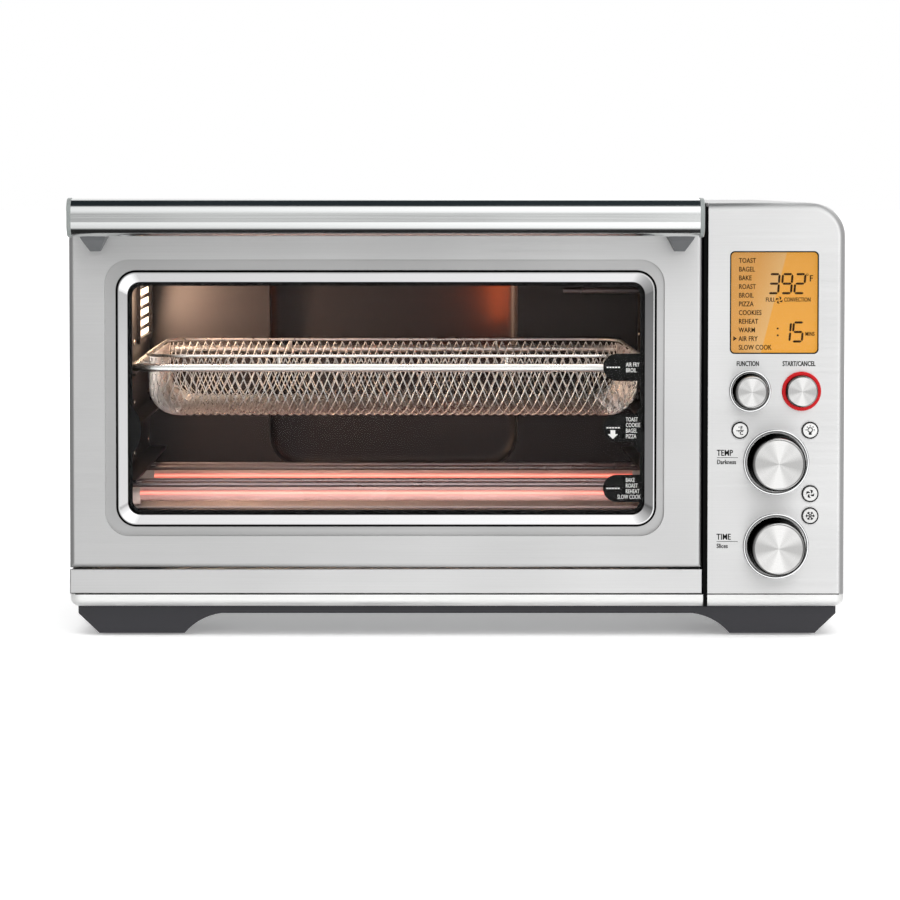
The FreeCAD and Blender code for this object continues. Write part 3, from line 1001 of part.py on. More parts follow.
def make_basket():
    """Mesh tub with its rim, hung in a rod frame."""
    frame = rod_loop(ROD_X0, ROD_X1, ROD_Y0, ROD_Y1, ROD_R, ROD_CORNER, ROD_Z)
    tx0, tx1 = ROD_X0 + TUB_INSET, ROD_X1 - TUB_INSET
    ty0, ty1 = ROD_Y0 + TUB_INSET, ROD_Y1 - TUB_INSET
    outer = plate_z(tx0, tx1, ty0, ty1, TUB_CORNER, TUB_BOTTOM, TUB_TOP)
    outer = outer.makeFillet(TUB_ROUND, edges_where(outer, lambda p: abs(p.z - TUB_BOTTOM) < 0.01))
    inner = plate_z(tx0 + TUB_T, tx1 - TUB_T, ty0 + TUB_T, ty1 - TUB_T, TUB_CORNER - TUB_T,
                    TUB_BOTTOM + TUB_T, TUB_TOP + 1)
    inner_bottom = edges_where(inner, lambda p: abs(p.z - TUB_BOTTOM - TUB_T) < 0.01)
    inner = inner.makeFillet(TUB_ROUND - TUB_T, inner_bottom)
    save("basket_mesh", outer.cut(inner))
    band = plate_z(tx0 - RIM_T, tx1 + RIM_T, ty0 - RIM_T, ty1 + RIM_T, TUB_CORNER + RIM_T,
                   TUB_TOP - RIM_H, TUB_TOP)
    rim = band.cut(plate_z(tx0, tx1, ty0, ty1, TUB_CORNER, TUB_TOP - RIM_H - 1, TUB_TOP + 1))
    lugs = []
    middle_y = (ROD_Y0 + ROD_Y1) / 2
    lug_bottom, lug_top, rim_bottom = ROD_Z - 1, ROD_Z + 0.5, TUB_TOP - RIM_H
    for rod_x, wall_x, side in ((ROD_X0, tx0, -1), (ROD_X1, tx1, 1)):
        x0, x1 = sorted((rod_x, wall_x))
        u0, u1 = sorted((wall_x, wall_x + side * RIM_T))
        for y in (ROD_Y0 + LUG_INSET_Y, middle_y, ROD_Y1 - LUG_INSET_Y):
            lugs.append(box(x0, x1, y - BASKET_LUG / 2, y + BASKET_LUG / 2, lug_bottom, lug_top))
            lugs.append(box(u0, u1, y - BASKET_LUG / 2, y + BASKET_LUG / 2, lug_bottom, rim_bottom))
    for rod_y, wall_y, side in ((ROD_Y0, ty0, -1), (ROD_Y1, ty1, 1)):
        y0, y1 = sorted((rod_y, wall_y))
        u0, u1 = sorted((wall_y, wall_y + side * RIM_T))
        for x in (ROD_X0 + LUG_INSET_X, ROD_X1 - LUG_INSET_X):
            lugs.append(box(x - BASKET_LUG / 2, x + BASKET_LUG / 2, y0, y1, lug_bottom, lug_top))
            lugs.append(box(x - BASKET_LUG / 2, x + BASKET_LUG / 2, u0, u1, lug_bottom, rim_bottom))
    save("basket_frame", joined([frame] + lugs + [rim]))


def make_tray():
    """Crumb tray pan and its front strip."""
    x0, x1 = X_LEFT + TRAY_SIDE, X_DOOR - TRAY_SIDE
    y0 = Y_FACE + TRAY_STRIP_T
    z0 = TRAY_STRIP_Z + 2.2
    outer = box(x0, x1, y0, Y_FACE + TRAY_LENGTH, z0, z0 + TRAY_HEIGHT)
    inner = box(x0 + TRAY_WALL, x1 - TRAY_WALL, y0 + TRAY_WALL, Y_FACE + TRAY_LENGTH - TRAY_WALL,
                z0 + TRAY_WALL, z0 + TRAY_HEIGHT + 1)
    save("crumb_tray", outer.cut(inner))
    top = DOOR_BOTTOM - TRAY_SEAM
    strip = box(X_LEFT, X_DOOR, Y_FACE, y0, TRAY_STRIP_Z, top)
    side = box(X_LEFT, X_LEFT + TRAY_STRIP_T, Y_FACE, Y_FRAME - SEAM, TRAY_STRIP_Z, top - TRAY_SIDE_DROP)
    panel = joined([strip, side])
    front = edges_where(panel, lambda p: abs(p.y - Y_FACE) < 0.01)
    save("crumb_tray_front", panel.makeFillet(0.7, front))


make_base()
make_case()
make_strip_and_frame()
make_cavity()
make_heating()
make_bay()
make_panel()
make_knobs()
make_buttons()
make_door()
make_hinges()
make_handle()
make_basket()
make_tray()
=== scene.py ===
"""Toaster oven: finishes, wire basket, window print, display, panel print and stage, around the CAD frame."""

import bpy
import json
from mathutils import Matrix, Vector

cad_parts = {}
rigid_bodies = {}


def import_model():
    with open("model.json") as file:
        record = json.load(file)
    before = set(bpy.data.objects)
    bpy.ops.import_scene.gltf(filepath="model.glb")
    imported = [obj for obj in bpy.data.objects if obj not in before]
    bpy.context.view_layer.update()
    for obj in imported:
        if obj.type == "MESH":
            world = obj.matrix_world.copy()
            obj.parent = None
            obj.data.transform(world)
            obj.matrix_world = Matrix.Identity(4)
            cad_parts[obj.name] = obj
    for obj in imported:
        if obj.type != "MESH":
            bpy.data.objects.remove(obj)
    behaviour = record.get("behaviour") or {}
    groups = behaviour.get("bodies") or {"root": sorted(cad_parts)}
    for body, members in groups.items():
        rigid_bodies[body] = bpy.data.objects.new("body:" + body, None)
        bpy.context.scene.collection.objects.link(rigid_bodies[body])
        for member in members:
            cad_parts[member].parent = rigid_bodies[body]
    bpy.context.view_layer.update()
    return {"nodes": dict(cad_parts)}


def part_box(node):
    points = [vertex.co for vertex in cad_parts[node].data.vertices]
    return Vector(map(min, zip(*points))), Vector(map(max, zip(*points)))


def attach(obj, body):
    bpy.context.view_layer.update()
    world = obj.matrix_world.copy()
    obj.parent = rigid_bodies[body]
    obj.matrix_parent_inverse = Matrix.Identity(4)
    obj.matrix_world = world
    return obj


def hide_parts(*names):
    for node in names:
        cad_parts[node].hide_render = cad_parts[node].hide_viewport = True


bl_info = {
    "name": "Toaster Oven",
    "version": (1, 0, 0),
    "blender": (4, 5, 0),
    "location": "View3D > Sidebar > Oven",
    "description": "Dresses a toaster oven's frame with its finishes, basket, display and lettering",
    "category": "Object",
}

import bpy
import bmesh
import json
import math
import random
from mathutils import Vector

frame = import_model()

MM = 0.001
PRINT = 0.03 * MM               # thickness of a thin printed mark
CAPITAL_TO_EM = 1.42            # size that a font needs for a capital of height 1
BEZEL_LAP = 4.0 * MM            # bezel's lip over the door skin
BEZEL_WIDTH = 6.7 * MM          # bezel from its lip to the glass, seen from the front
BEZEL_CORNER = 12.0 * MM        # the bezel's corner inside its lip


def low(node):
    """Lowest corner of a node at rest."""
    return Vector(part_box(node)[0])


def high(node):
    """Highest corner of a node at rest."""
    return Vector(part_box(node)[1])


def middle(node):
    """Centre of a node at rest."""
    return (low(node) + high(node)) / 2


# ---------------------------------------------------------------- settings
def length(name, text, default):
    """A length in metres, shown in the scene's units."""
    return bpy.props.FloatProperty(name=name, description=text, default=default, min=0.0, precision=4,
                                   subtype="DISTANCE", unit="LENGTH")


def colour(name, text, default):
    """A colour with no alpha."""
    return bpy.props.FloatVectorProperty(name=name, description=text, default=default, size=3, min=0.0, max=1.0,
                                         subtype="COLOR")


def number(name, text, default, top=1.0):
    """A plain share or strength."""
    return bpy.props.FloatProperty(name=name, description=text, default=default, min=0.0, max=top)


class OvenFinishSettings(bpy.types.PropertyGroup):
    steel: colour("Brushed steel", "Case, door and panel", (0.84, 0.84, 0.838))
    steel_rough: number("Steel roughness", "Mean roughness of the brushed sheet", 0.50)
    polish: colour("Polished trim", "Rings round the knobs, screws and hinge pins", (0.80, 0.805, 0.81))
    handle: colour("Handle steel", "Satin bar of the handle", (0.80, 0.815, 0.81))
    liner: colour("Liner steel", "Sheet inside the cavity", (0.015, 0.011, 0.0115))
    plastic: colour("Dark plastic", "Base moulding, rear spacers and panel carrier", (0.026, 0.0255, 0.031))
    knob: colour("Knob metal", "Turned knobs and start button", (0.88, 0.875, 0.865))
    red: colour("Start ring", "Ring round the start button", (0.56, 0.002, 0.006))


class OvenBasketSettings(bpy.types.PropertyGroup):
    cell_width: length("Cell width", "Width of a diamond in the mesh", 5.3 * MM)
    cell_height: length("Cell height", "Height of a diamond in the mesh", 13.0 * MM)
    wire: length("Wire radius", "Radius of the mesh wire", 0.36 * MM)
    rim: length("Rim radius", "Radius of the rim wire", 1.0 * MM)
    rod: length("Rod radius", "Radius of the frame rod", 2.5 * MM)
    corner: length("Corner radius", "Corner of the tub seen from above", 24.0 * MM)
    turn: length("Bottom radius", "Round between wall and bottom", 18.0 * MM)


class OvenHeatSettings(bpy.types.PropertyGroup):
    glow: colour("Element glow", "Colour of the hot coil", (1.0, 0.10, 0.045))
    glow_strength: number("Glow strength", "Emission of the lower coils", 1.35, 50.0)
    lamp: colour("Lamp light", "Colour of the cavity lamp", (1.0, 0.68, 0.46))
    lamp_power: bpy.props.FloatProperty(name="Lamp power", description="Power of the cavity lamp", default=0.8,
                                        min=0.0, unit="POWER")
    fill_power: bpy.props.FloatProperty(name="Fill power", description="Power of the light from the cavity's top",
                                        default=0.17, min=0.0, unit="POWER")


class OvenDisplaySettings(bpy.types.PropertyGroup):
    amber: colour("Backlight", "Colour of the lit display", (1.0, 0.40, 0.015))
    brightness: number("Brightness", "Emission of the display", 0.70, 10.0)
    ink: colour("Ink", "Dark segments and words", (0.035, 0.018, 0.008))
    lean: number("Digit lean", "Sideways lean of the digits", 0.08)


class OvenStageSettings(bpy.types.PropertyGroup):
    distance: length("Camera distance", "From the front of the door", 2.1)
    eye: length("Eye height", "Camera above the floor", 0.282)
    aside: length("Camera aside", "Camera to the left of the middle", 0.035)
    across: length("Width in view", "Frame width at the door's face", 0.5555)
    aim: length("Aim height", "Height at the middle of the frame", 0.1162)
    off_centre: length("Off centre", "Middle of the frame, left of the oven's", 4.6 * MM)


# ---------------------------------------------------------------- shader groups
def new_group(name, inputs, outputs):
    """Empty shader node group with named sockets."""
    tree = bpy.data.node_groups.new(name, "ShaderNodeTree")
    for label, kind, value in inputs:
        socket = tree.interface.new_socket(label, in_out="INPUT", socket_type=kind)
        if value is not None:
            socket.default_value = value
    for label, kind in outputs:
        tree.interface.new_socket(label, in_out="OUTPUT", socket_type=kind)
    return tree, tree.nodes.new("NodeGroupInput"), tree.nodes.new("NodeGroupOutput")


def wire_up(tree, *pairs):
    """Link each source socket to its target."""
    for source, target in pairs:
        tree.links.new(source, target)


def math_node(tree, operation, *values):
    """Math node with sockets or numbers for its values."""
    node = tree.nodes.new("ShaderNodeMath")
    node.operation = operation
    for i, value in enumerate(values):
        if isinstance(value, (int, float)):
            node.inputs[i].default_value = value
        else:
            tree.links.new(value, node.inputs[i])
    return node.outputs[0]


def vector_node(tree, operation, *values):
    """Vector math node with sockets, vectors or numbers for its values; gives the node."""
    node = tree.nodes.new("ShaderNodeVectorMath")
    node.operation = operation
    for i, value in enumerate(values):
        if isinstance(value, tuple):
            node.inputs[i].default_value = value
        else:
            tree.links.new(value, node.inputs[i])
    return node


def parts_of(tree, vector):
    """X, Y and Z of a vector."""
    node = tree.nodes.new("ShaderNodeSeparateXYZ")
    tree.links.new(vector, node.inputs[0])
    return node.outputs["X"], node.outputs["Y"], node.outputs["Z"]


def measured_from(tree, where, centre):
    """Coordinates counted from a centre."""
    place = tree.nodes.new("ShaderNodeMapping")
    place.inputs["Location"].default_value = [-value for value in centre]
    tree.links.new(where, place.inputs["Vector"])
    return place.outputs[0]


def noise_node(tree, vector, scale, detail=3.0, rough=0.55):
    """Noise texture read at a vector."""
    node = tree.nodes.new("ShaderNodeTexNoise")
    node.inputs["Detail"].default_value = detail
    node.inputs["Roughness"].default_value = rough
    if isinstance(scale, (int, float)):
        node.inputs["Scale"].default_value = scale
    else:
        tree.links.new(scale, node.inputs["Scale"])
    tree.links.new(vector, node.inputs["Vector"])
    return node.outputs["Fac"]


def grain_group():
    """Brushed grain: long fine scratches plus slow cloudiness. Stretch holds cycles per metre on each axis."""
    tree, gin, gout = new_group("brushed_grain", [
        ("Vector", "NodeSocketVector", None), ("Stretch", "NodeSocketVector", (8.0, 900.0, 900.0)),
        ("Cloud Scale", "NodeSocketFloat", 9.0)],
        [("Grain", "NodeSocketFloat"), ("Cloud", "NodeSocketFloat")])
    scaled = vector_node(tree, "MULTIPLY", gin.outputs["Vector"], gin.outputs["Stretch"])
    grain = noise_node(tree, scaled.outputs[0], 1.0, detail=4.0, rough=0.62)
    cloud = noise_node(tree, gin.outputs["Vector"], gin.outputs["Cloud Scale"], detail=2.0, rough=0.5)
    wire_up(tree, (grain, gout.inputs["Grain"]), (cloud, gout.inputs["Cloud"]))
    return tree


def spun_group():
    """Fine turning rings round the Y axis, with faint spokes of painted highlight like the sheen on a spun face."""
    tree, gin, gout = new_group("spun_face", [
        ("Vector", "NodeSocketVector", None), ("Rings", "NodeSocketFloat", 2600.0)],
        [("Ring", "NodeSocketFloat"), ("Painted Spoke", "NodeSocketFloat"), ("Radius", "NodeSocketFloat")])
    x, _, z = parts_of(tree, gin.outputs["Vector"])
    radius = math_node(tree, "SQRT", math_node(tree, "ADD", math_node(tree, "MULTIPLY", x, x),
                                               math_node(tree, "MULTIPLY", z, z)))
    rings = tree.nodes.new("ShaderNodeCombineXYZ")
    tree.links.new(math_node(tree, "MULTIPLY", radius, gin.outputs["Rings"]), rings.inputs["X"])
    ring = noise_node(tree, rings.outputs[0], 1.0, detail=2.0, rough=0.6)
    angle = math_node(tree, "ARCTAN2", z, x)
    waves = []
    for spokes, turn in ((2.0, -1.45), (6.0, 0.55)):
        turned = math_node(tree, "ADD", angle, turn)
        waves.append(math_node(tree, "COSINE", math_node(tree, "MULTIPLY", turned, spokes)))
    broad = math_node(tree, "MULTIPLY_ADD", waves[0], 0.33, 0.5)
    both = math_node(tree, "ADD", broad, math_node(tree, "MULTIPLY", waves[1], 0.17))
    wire_up(tree, (ring, gout.inputs["Ring"]), (both, gout.inputs["Painted Spoke"]), (radius, gout.inputs["Radius"]))
    return tree


def speckle_group():
    """Fine moulded texture with a slow change of tone."""
    tree, gin, gout = new_group("speckle", [
        ("Vector", "NodeSocketVector", None), ("Scale", "NodeSocketFloat", 1800.0)],
        [("Speck", "NodeSocketFloat"), ("Tone", "NodeSocketFloat")])
    for scale, detail, label in ((gin.outputs["Scale"], 2.0, "Speck"), (14.0, 3.0, "Tone")):
        tree.links.new(noise_node(tree, gin.outputs["Vector"], scale, detail, rough=0.5), gout.inputs[label])
    return tree


def rim_group():
    """How far a point lies inside a rounded rectangle in X and Z; Core is half its size less the corner."""
    tree, gin, gout = new_group("rounded_rim", [
        ("Vector", "NodeSocketVector", None), ("Core", "NodeSocketVector", (0.1, 0.0, 0.1)),
        ("Corner", "NodeSocketFloat", 0.012)], [("Inside", "NodeSocketFloat")])
    past = vector_node(tree, "ABSOLUTE", gin.outputs["Vector"])
    past = vector_node(tree, "SUBTRACT", past.outputs[0], gin.outputs["Core"])
    past = vector_node(tree, "MAXIMUM", past.outputs[0], (0.0, 0.0, 0.0))
    past = vector_node(tree, "MULTIPLY", past.outputs[0], (1.0, 0.0, 1.0))
    reach = vector_node(tree, "LENGTH", past.outputs[0])
    tree.links.new(math_node(tree, "SUBTRACT", gin.outputs["Corner"], reach.outputs["Value"]), gout.inputs["Inside"])
    return tree


GROUPS = {}


def use_group(tree, name):
    """Place one of the shared groups in a material."""
    if name not in GROUPS:
        makers = {"grain": grain_group, "spun": spun_group, "speckle": speckle_group, "rim": rim_group}
        GROUPS[name] = makers[name]()
    node = tree.nodes.new("ShaderNodeGroup")
    node.node_tree = GROUPS[name]
    return node


# ---------------------------------------------------------------- materials
def blank(name):
    """Material with its Principled shader and Object coordinates."""
    material = bpy.data.materials.new(name)
    material.use_nodes = True
    tree = material.node_tree
    shader = tree.nodes["Principled BSDF"]
    coordinates = tree.nodes.new("ShaderNodeTexCoord").outputs["Object"]
    return material, tree, shader, coordinates


def ramp(tree, source, stops):
    """Colour ramp over a value; stops are (place, colour)."""
    node = tree.nodes.new("ShaderNodeValToRGB")
    elements = node.color_ramp.elements
    while len(elements) < len(stops):
        elements.new(0.5)
    for element, (place, rgb) in zip(elements, stops):
        element.position = place
        element.color = (*rgb, 1.0)
    tree.links.new(source, node.inputs["Fac"])
    return node.outputs["Color"]


def span(tree, source, to_low, to_high, from_low=0.3, from_high=0.7):
    """Value mapped to a range."""
    node = tree.nodes.new("ShaderNodeMapRange")
    for label, value in (("From Min", from_low), ("From Max", from_high), ("To Min", to_low), ("To Max", to_high)):
        node.inputs[label].default_value = value
    tree.links.new(source, node.inputs["Value"])
    return node.outputs["Result"]


def bump(tree, shader, height, strength, distance):
    """Bump into the shader's normal."""
    node = tree.nodes.new("ShaderNodeBump")
    node.inputs["Strength"].default_value = strength
    node.inputs["Distance"].default_value = distance
    tree.links.new(height, node.inputs["Height"])
    tree.links.new(node.outputs["Normal"], shader.inputs["Normal"])


def grey(value):
    """Neutral colour."""
    return (value, value, value)


def greys(*levels):
    """Ramp stops from pairs of place and brightness."""
    return [(place, grey(value)) for place, value in levels]


def shade(rgb, factor):
    """Colour made lighter or darker."""
    return tuple(min(1.0, c * factor) for c in rgb)


def scaled_colour(tree, tone, factor):
    """Colour times a value."""
    node = tree.nodes.new("ShaderNodeVectorMath")
    node.operation = "SCALE"
    tree.links.new(tone, node.inputs[0])
    tree.links.new(factor, node.inputs["Scale"])
    return node.outputs[0]


def dress(tree, shader, **values):
    """Give the shader's inputs sockets or plain values; base_color stands for Base Color."""
    for label, value in values.items():
        socket = shader.inputs[label.replace("_", " ").title().replace("Ior", "IOR")]
        if isinstance(value, bpy.types.NodeSocket):
            tree.links.new(value, socket)
        else:
            socket.default_value = value


def speckled(name, scale):
    """Blank material with the speckle group placed in it."""
    material, tree, shader, where = blank(name)
    speck = use_group(tree, "speckle")
    speck.inputs["Scale"].default_value = scale
    tree.links.new(where, speck.inputs["Vector"])
    return material, tree, shader, speck


def brushed(name, rgb, rough, stretch, depth=0.10, contrast=0.05, metallic=1.0, aniso=0.0, painted_shade_from=None):
    """Brushed metal with its grain along the axis of least stretch; the last argument, when given, paints a shade on
    what lies behind that y.
    """
    material, tree, shader, where = blank(name)
    grain = use_group(tree, "grain")
    grain.inputs["Stretch"].default_value = stretch
    tree.links.new(where, grain.inputs["Vector"])
    tone = ramp(tree, grain.outputs["Grain"], [(0.32, shade(rgb, 1 - contrast)), (0.68, shade(rgb, 1 + contrast))])
    # painted shade: the colour is made 20 percent darker behind the given y, in the door's window recess
    if painted_shade_from is not None:
        soft_step = 0.4 * MM
        darker = span(tree, parts_of(tree, where)[1], 1.0, 0.80, painted_shade_from - soft_step, painted_shade_from + soft_step)
        tone = scaled_colour(tree, tone, darker)
    tree.links.new(tone, shader.inputs["Base Color"])
    rough_mix = math_node(tree, "ADD", span(tree, grain.outputs["Grain"], -0.05, 0.05),
                          span(tree, grain.outputs["Cloud"], rough - 0.03, rough + 0.03))
    tree.links.new(rough_mix, shader.inputs["Roughness"])
    shader.inputs["Metallic"].default_value = metallic
    if aniso:
        shader.inputs["Anisotropic"].default_value = aniso
        shader.inputs["Anisotropic Rotation"].default_value = 0.25
        tangent = tree.nodes.new("ShaderNodeTangent")
        tangent.direction_type = "RADIAL"
        tangent.axis = "Z"
        tree.links.new(tangent.outputs[0], shader.inputs["Tangent"])
    bump(tree, shader, grain.outputs["Grain"], depth, 0.1 * MM)
    return material


def polished(name, rgb, rough=0.07, metallic=1.0):
    """Polished metal with faint smears."""
    material, tree, shader, speck = speckled(name, 240.0)
    tone = ramp(tree, speck.outputs["Tone"], [(0.3, shade(rgb, 0.96)), (0.7, rgb)])
    dress(tree, shader, base_color=tone, metallic=metallic,
          roughness=span(tree, speck.outputs["Tone"], rough * 0.7, rough * 1.5))
    bump(tree, shader, speck.outputs["Speck"], 0.02, 0.1 * MM)
    return material


def edged(name, rgb, rough, x0, x1, z0, z1, corner, line):
    """Polished metal with a painted shadow: a dark line just inside a rounded rectangle."""
    material = polished(name, rgb, rough)
    tree = material.node_tree
    shader = tree.nodes["Principled BSDF"]
    base = shader.inputs["Base Color"].links[0].from_socket
    where = tree.nodes.new("ShaderNodeTexCoord").outputs["Object"]
    rim = use_group(tree, "rim")
    rim.inputs["Core"].default_value = ((x1 - x0) / 2 - corner, 0.0, (z1 - z0) / 2 - corner)
    rim.inputs["Corner"].default_value = corner
    centre = ((x0 + x1) / 2, 0.0, (z0 + z1) / 2)
    tree.links.new(measured_from(tree, where, centre), rim.inputs["Vector"])
    # painted shadow: the colour falls almost to black along the bezel's outer line, next to the door skin
    rim_shadow = span(tree, rim.outputs["Inside"], 0.01, 1.0, line, line + 0.5 * MM)
    dress(tree, shader, base_color=scaled_colour(tree, base, rim_shadow), specular_tint=(*grey(0.3), 1.0))
    return material


def moulded(name, rgb, rough=0.55, depth=0.25, scale=1800.0, coat=0.0):
    """Moulded plastic, rubber or painted part."""
    material, tree, shader, speck = speckled(name, scale)
    tone = ramp(tree, speck.outputs["Tone"], [(0.3, shade(rgb, 0.85)), (0.7, shade(rgb, 1.12))])
    dress(tree, shader, base_color=tone, coat_weight=coat,
          roughness=span(tree, speck.outputs["Tone"], rough - 0.06, rough + 0.06))
    bump(tree, shader, speck.outputs["Speck"], depth, 0.15 * MM)
    return material


def spun(name, rgb, centre, face_radius):
    """Turned metal face round an axis along Y, with a smoother side whose colour is painted almost black as shade and
    dark reflection.
    """
    material, tree, shader, where = blank(name)
    face = use_group(tree, "spun")
    tree.links.new(measured_from(tree, where, centre), face.inputs["Vector"])
    tone = ramp(tree, face.outputs["Ring"], [(0.3, shade(rgb, 0.96)), (0.7, shade(rgb, 1.03))])
    # painted highlight: spokes of brightness in the colour stand for the sheen a spun face reflects
    tone = scaled_colour(tree, tone, span(tree, face.outputs["Painted Spoke"], 0.58, 1.0, 0.1, 0.85))
    # painted shade and reflection: past the face's edge, the colour falls to almost black on the knob's side
    edge, side = face_radius + 0.1 * MM, face_radius + 0.1 * MM + 0.5 * MM
    tone = scaled_colour(tree, tone, span(tree, face.outputs["Radius"], 1.0, 0.06, edge, side))
    smoother = span(tree, face.outputs["Radius"], 0.0, 0.14, edge, side)
    dress(tree, shader, base_color=tone, metallic=1.0, specular_tint=(*grey(0.12), 1.0),
          roughness=math_node(tree, "SUBTRACT", span(tree, face.outputs["Ring"], 0.24, 0.36), smoother))
    bump(tree, shader, face.outputs["Ring"], 0.08, 0.1 * MM)
    return material


def glazed(name, rgb, rough=0.02):
    """Clear pane with the faintest unevenness."""
    material, tree, shader, speck = speckled(name, 30.0)
    tone = ramp(tree, speck.outputs["Tone"], [(0.3, shade(rgb, 0.985)), (0.7, rgb)])
    dress(tree, shader, base_color=tone, roughness=span(tree, speck.outputs["Tone"], 0.0, rough),
          transmission_weight=1.0, ior=1.08)
    return material


def glowing(name, rgb, strength, core):
    """Hot or lit part that also has a surface."""
    material, tree, shader, speck = speckled(name, 300.0)
    glow = ramp(tree, speck.outputs["Speck"], [(0.3, shade(rgb, 0.8)), (0.7, core)])
    tone = ramp(tree, speck.outputs["Tone"], [(0.3, shade(rgb, 0.5)), (0.7, rgb)])
    dress(tree, shader, emission_color=glow, base_color=tone, emission_strength=strength,
          roughness=span(tree, speck.outputs["Tone"], 0.25, 0.4))
    return material


def coil_tube(name, rgb, core, strength):
    """Frosted tube with a hot coil that shows along its middle from any side."""
    material, tree, shader, speck = speckled(name, 420.0)
    tone = ramp(tree, speck.outputs["Tone"], [(0.3, (0.62, 0.44, 0.42)), (0.7, (0.72, 0.55, 0.53))])
    facing = tree.nodes.new("ShaderNodeLayerWeight").outputs["Facing"]
    coil = [(0.0, core), (0.016, rgb), (0.04, shade(rgb, 0.10)), (0.2, shade(rgb, 0.015))]
    dress(tree, shader, base_color=tone, roughness=span(tree, speck.outputs["Tone"], 0.22, 0.34),
          emission_color=ramp(tree, facing, coil), emission_strength=strength, coat_weight=0.5)
    return material


def ink(name, rgb, rough=0.45):
    """Screen print, slightly uneven."""
    material = moulded(name, rgb, rough, 0.08, 2500.0)
    material.node_tree.nodes["Principled BSDF"].inputs["Specular IOR Level"].default_value = 0.08
    return material


FINISH = {}                     # every finish's material, once it is made
# finish: material, colour, roughness, grain in cycles per metre on each axis, bump, contrast
BRUSHED = {
    "mesh_wire": ("mesh_wire", (0.80, 0.79, 0.78), 0.30, (300.0, 300.0, 300.0), 0.05, 0.12),
    "reflector": ("reflector_steel", (0.66, 0.62, 0.58), 0.22, (6.0, 500.0, 500.0), 0.08, 0.08),
    "trough": ("trough_steel", (0.90, 0.80, 0.78), 0.52, (6.0, 500.0, 500.0), 0.05, 0.05),
    "plain_steel": ("plain_steel", (0.52, 0.53, 0.54), 0.42, (40.0, 40.0, 140.0), 0.12, 0.07),
    "tray": ("tray_aluminium", (0.62, 0.62, 0.62), 0.40, (30.0, 200.0, 200.0), 0.10, 0.06),
    "motor": ("motor_steel", (0.20, 0.20, 0.21), 0.5, (900.0, 40.0, 40.0), 0.3, 0.2),
}
# finish: material, colour, roughness, bump, specks per metre, coat
MOULDED = {
    "bracket": ("bracket_grey", (0.105, 0.11, 0.115), 0.42, 0.12, 1800.0, 0.0),
    "cap": ("cap_grey", (0.23, 0.25, 0.245), 0.38, 0.06, 2400.0, 0.3),
    "rubber": ("foot_rubber", (0.018, 0.018, 0.018), 0.8, 0.4, 900.0, 0.0),
    "board": ("board_green", (0.02, 0.14, 0.06), 0.4, 0.15, 700.0, 0.0),
    "ceramic": ("ceramic_white", (0.78, 0.75, 0.70), 0.6, 0.3, 900.0, 0.0),
    "wool": ("insulation_wool", (0.70, 0.67, 0.58), 0.95, 1.0, 350.0, 0.0),
    "button": ("button_silver", (0.80, 0.80, 0.79), 0.35, 0.05, 2400.0, 0.1),
}
# finish: material, colour, roughness, in this table and the next two
POLISHED = {
    "wire": ("basket_wire", (0.88, 0.87, 0.85), 0.30),
    "guard_wire": ("guard_wire", (0.20, 0.18, 0.185), 0.3),
}
INKS = {
    "strip": ("strip_black", (0.003, 0.003, 0.003), 0.8),
    "black_print": ("black_print", (0.006, 0.006, 0.006), 0.25),
    "white_print": ("white_print", (0.86, 0.86, 0.84), 0.45),
    "label_print": ("label_print", (0.008, 0.008, 0.009), 0.45),
    # the seam finish is no ink: it is the near-black of painted shadow lines in gaps
    "seam": ("seam_black", (0.004, 0.004, 0.004), 0.7),
}
GLAZED = {
    "glass": ("window_glass", (0.985, 0.99, 0.99), 0.02),
    "display_glass": ("display_glass", (1.0, 0.97, 0.92), 0.02),
}


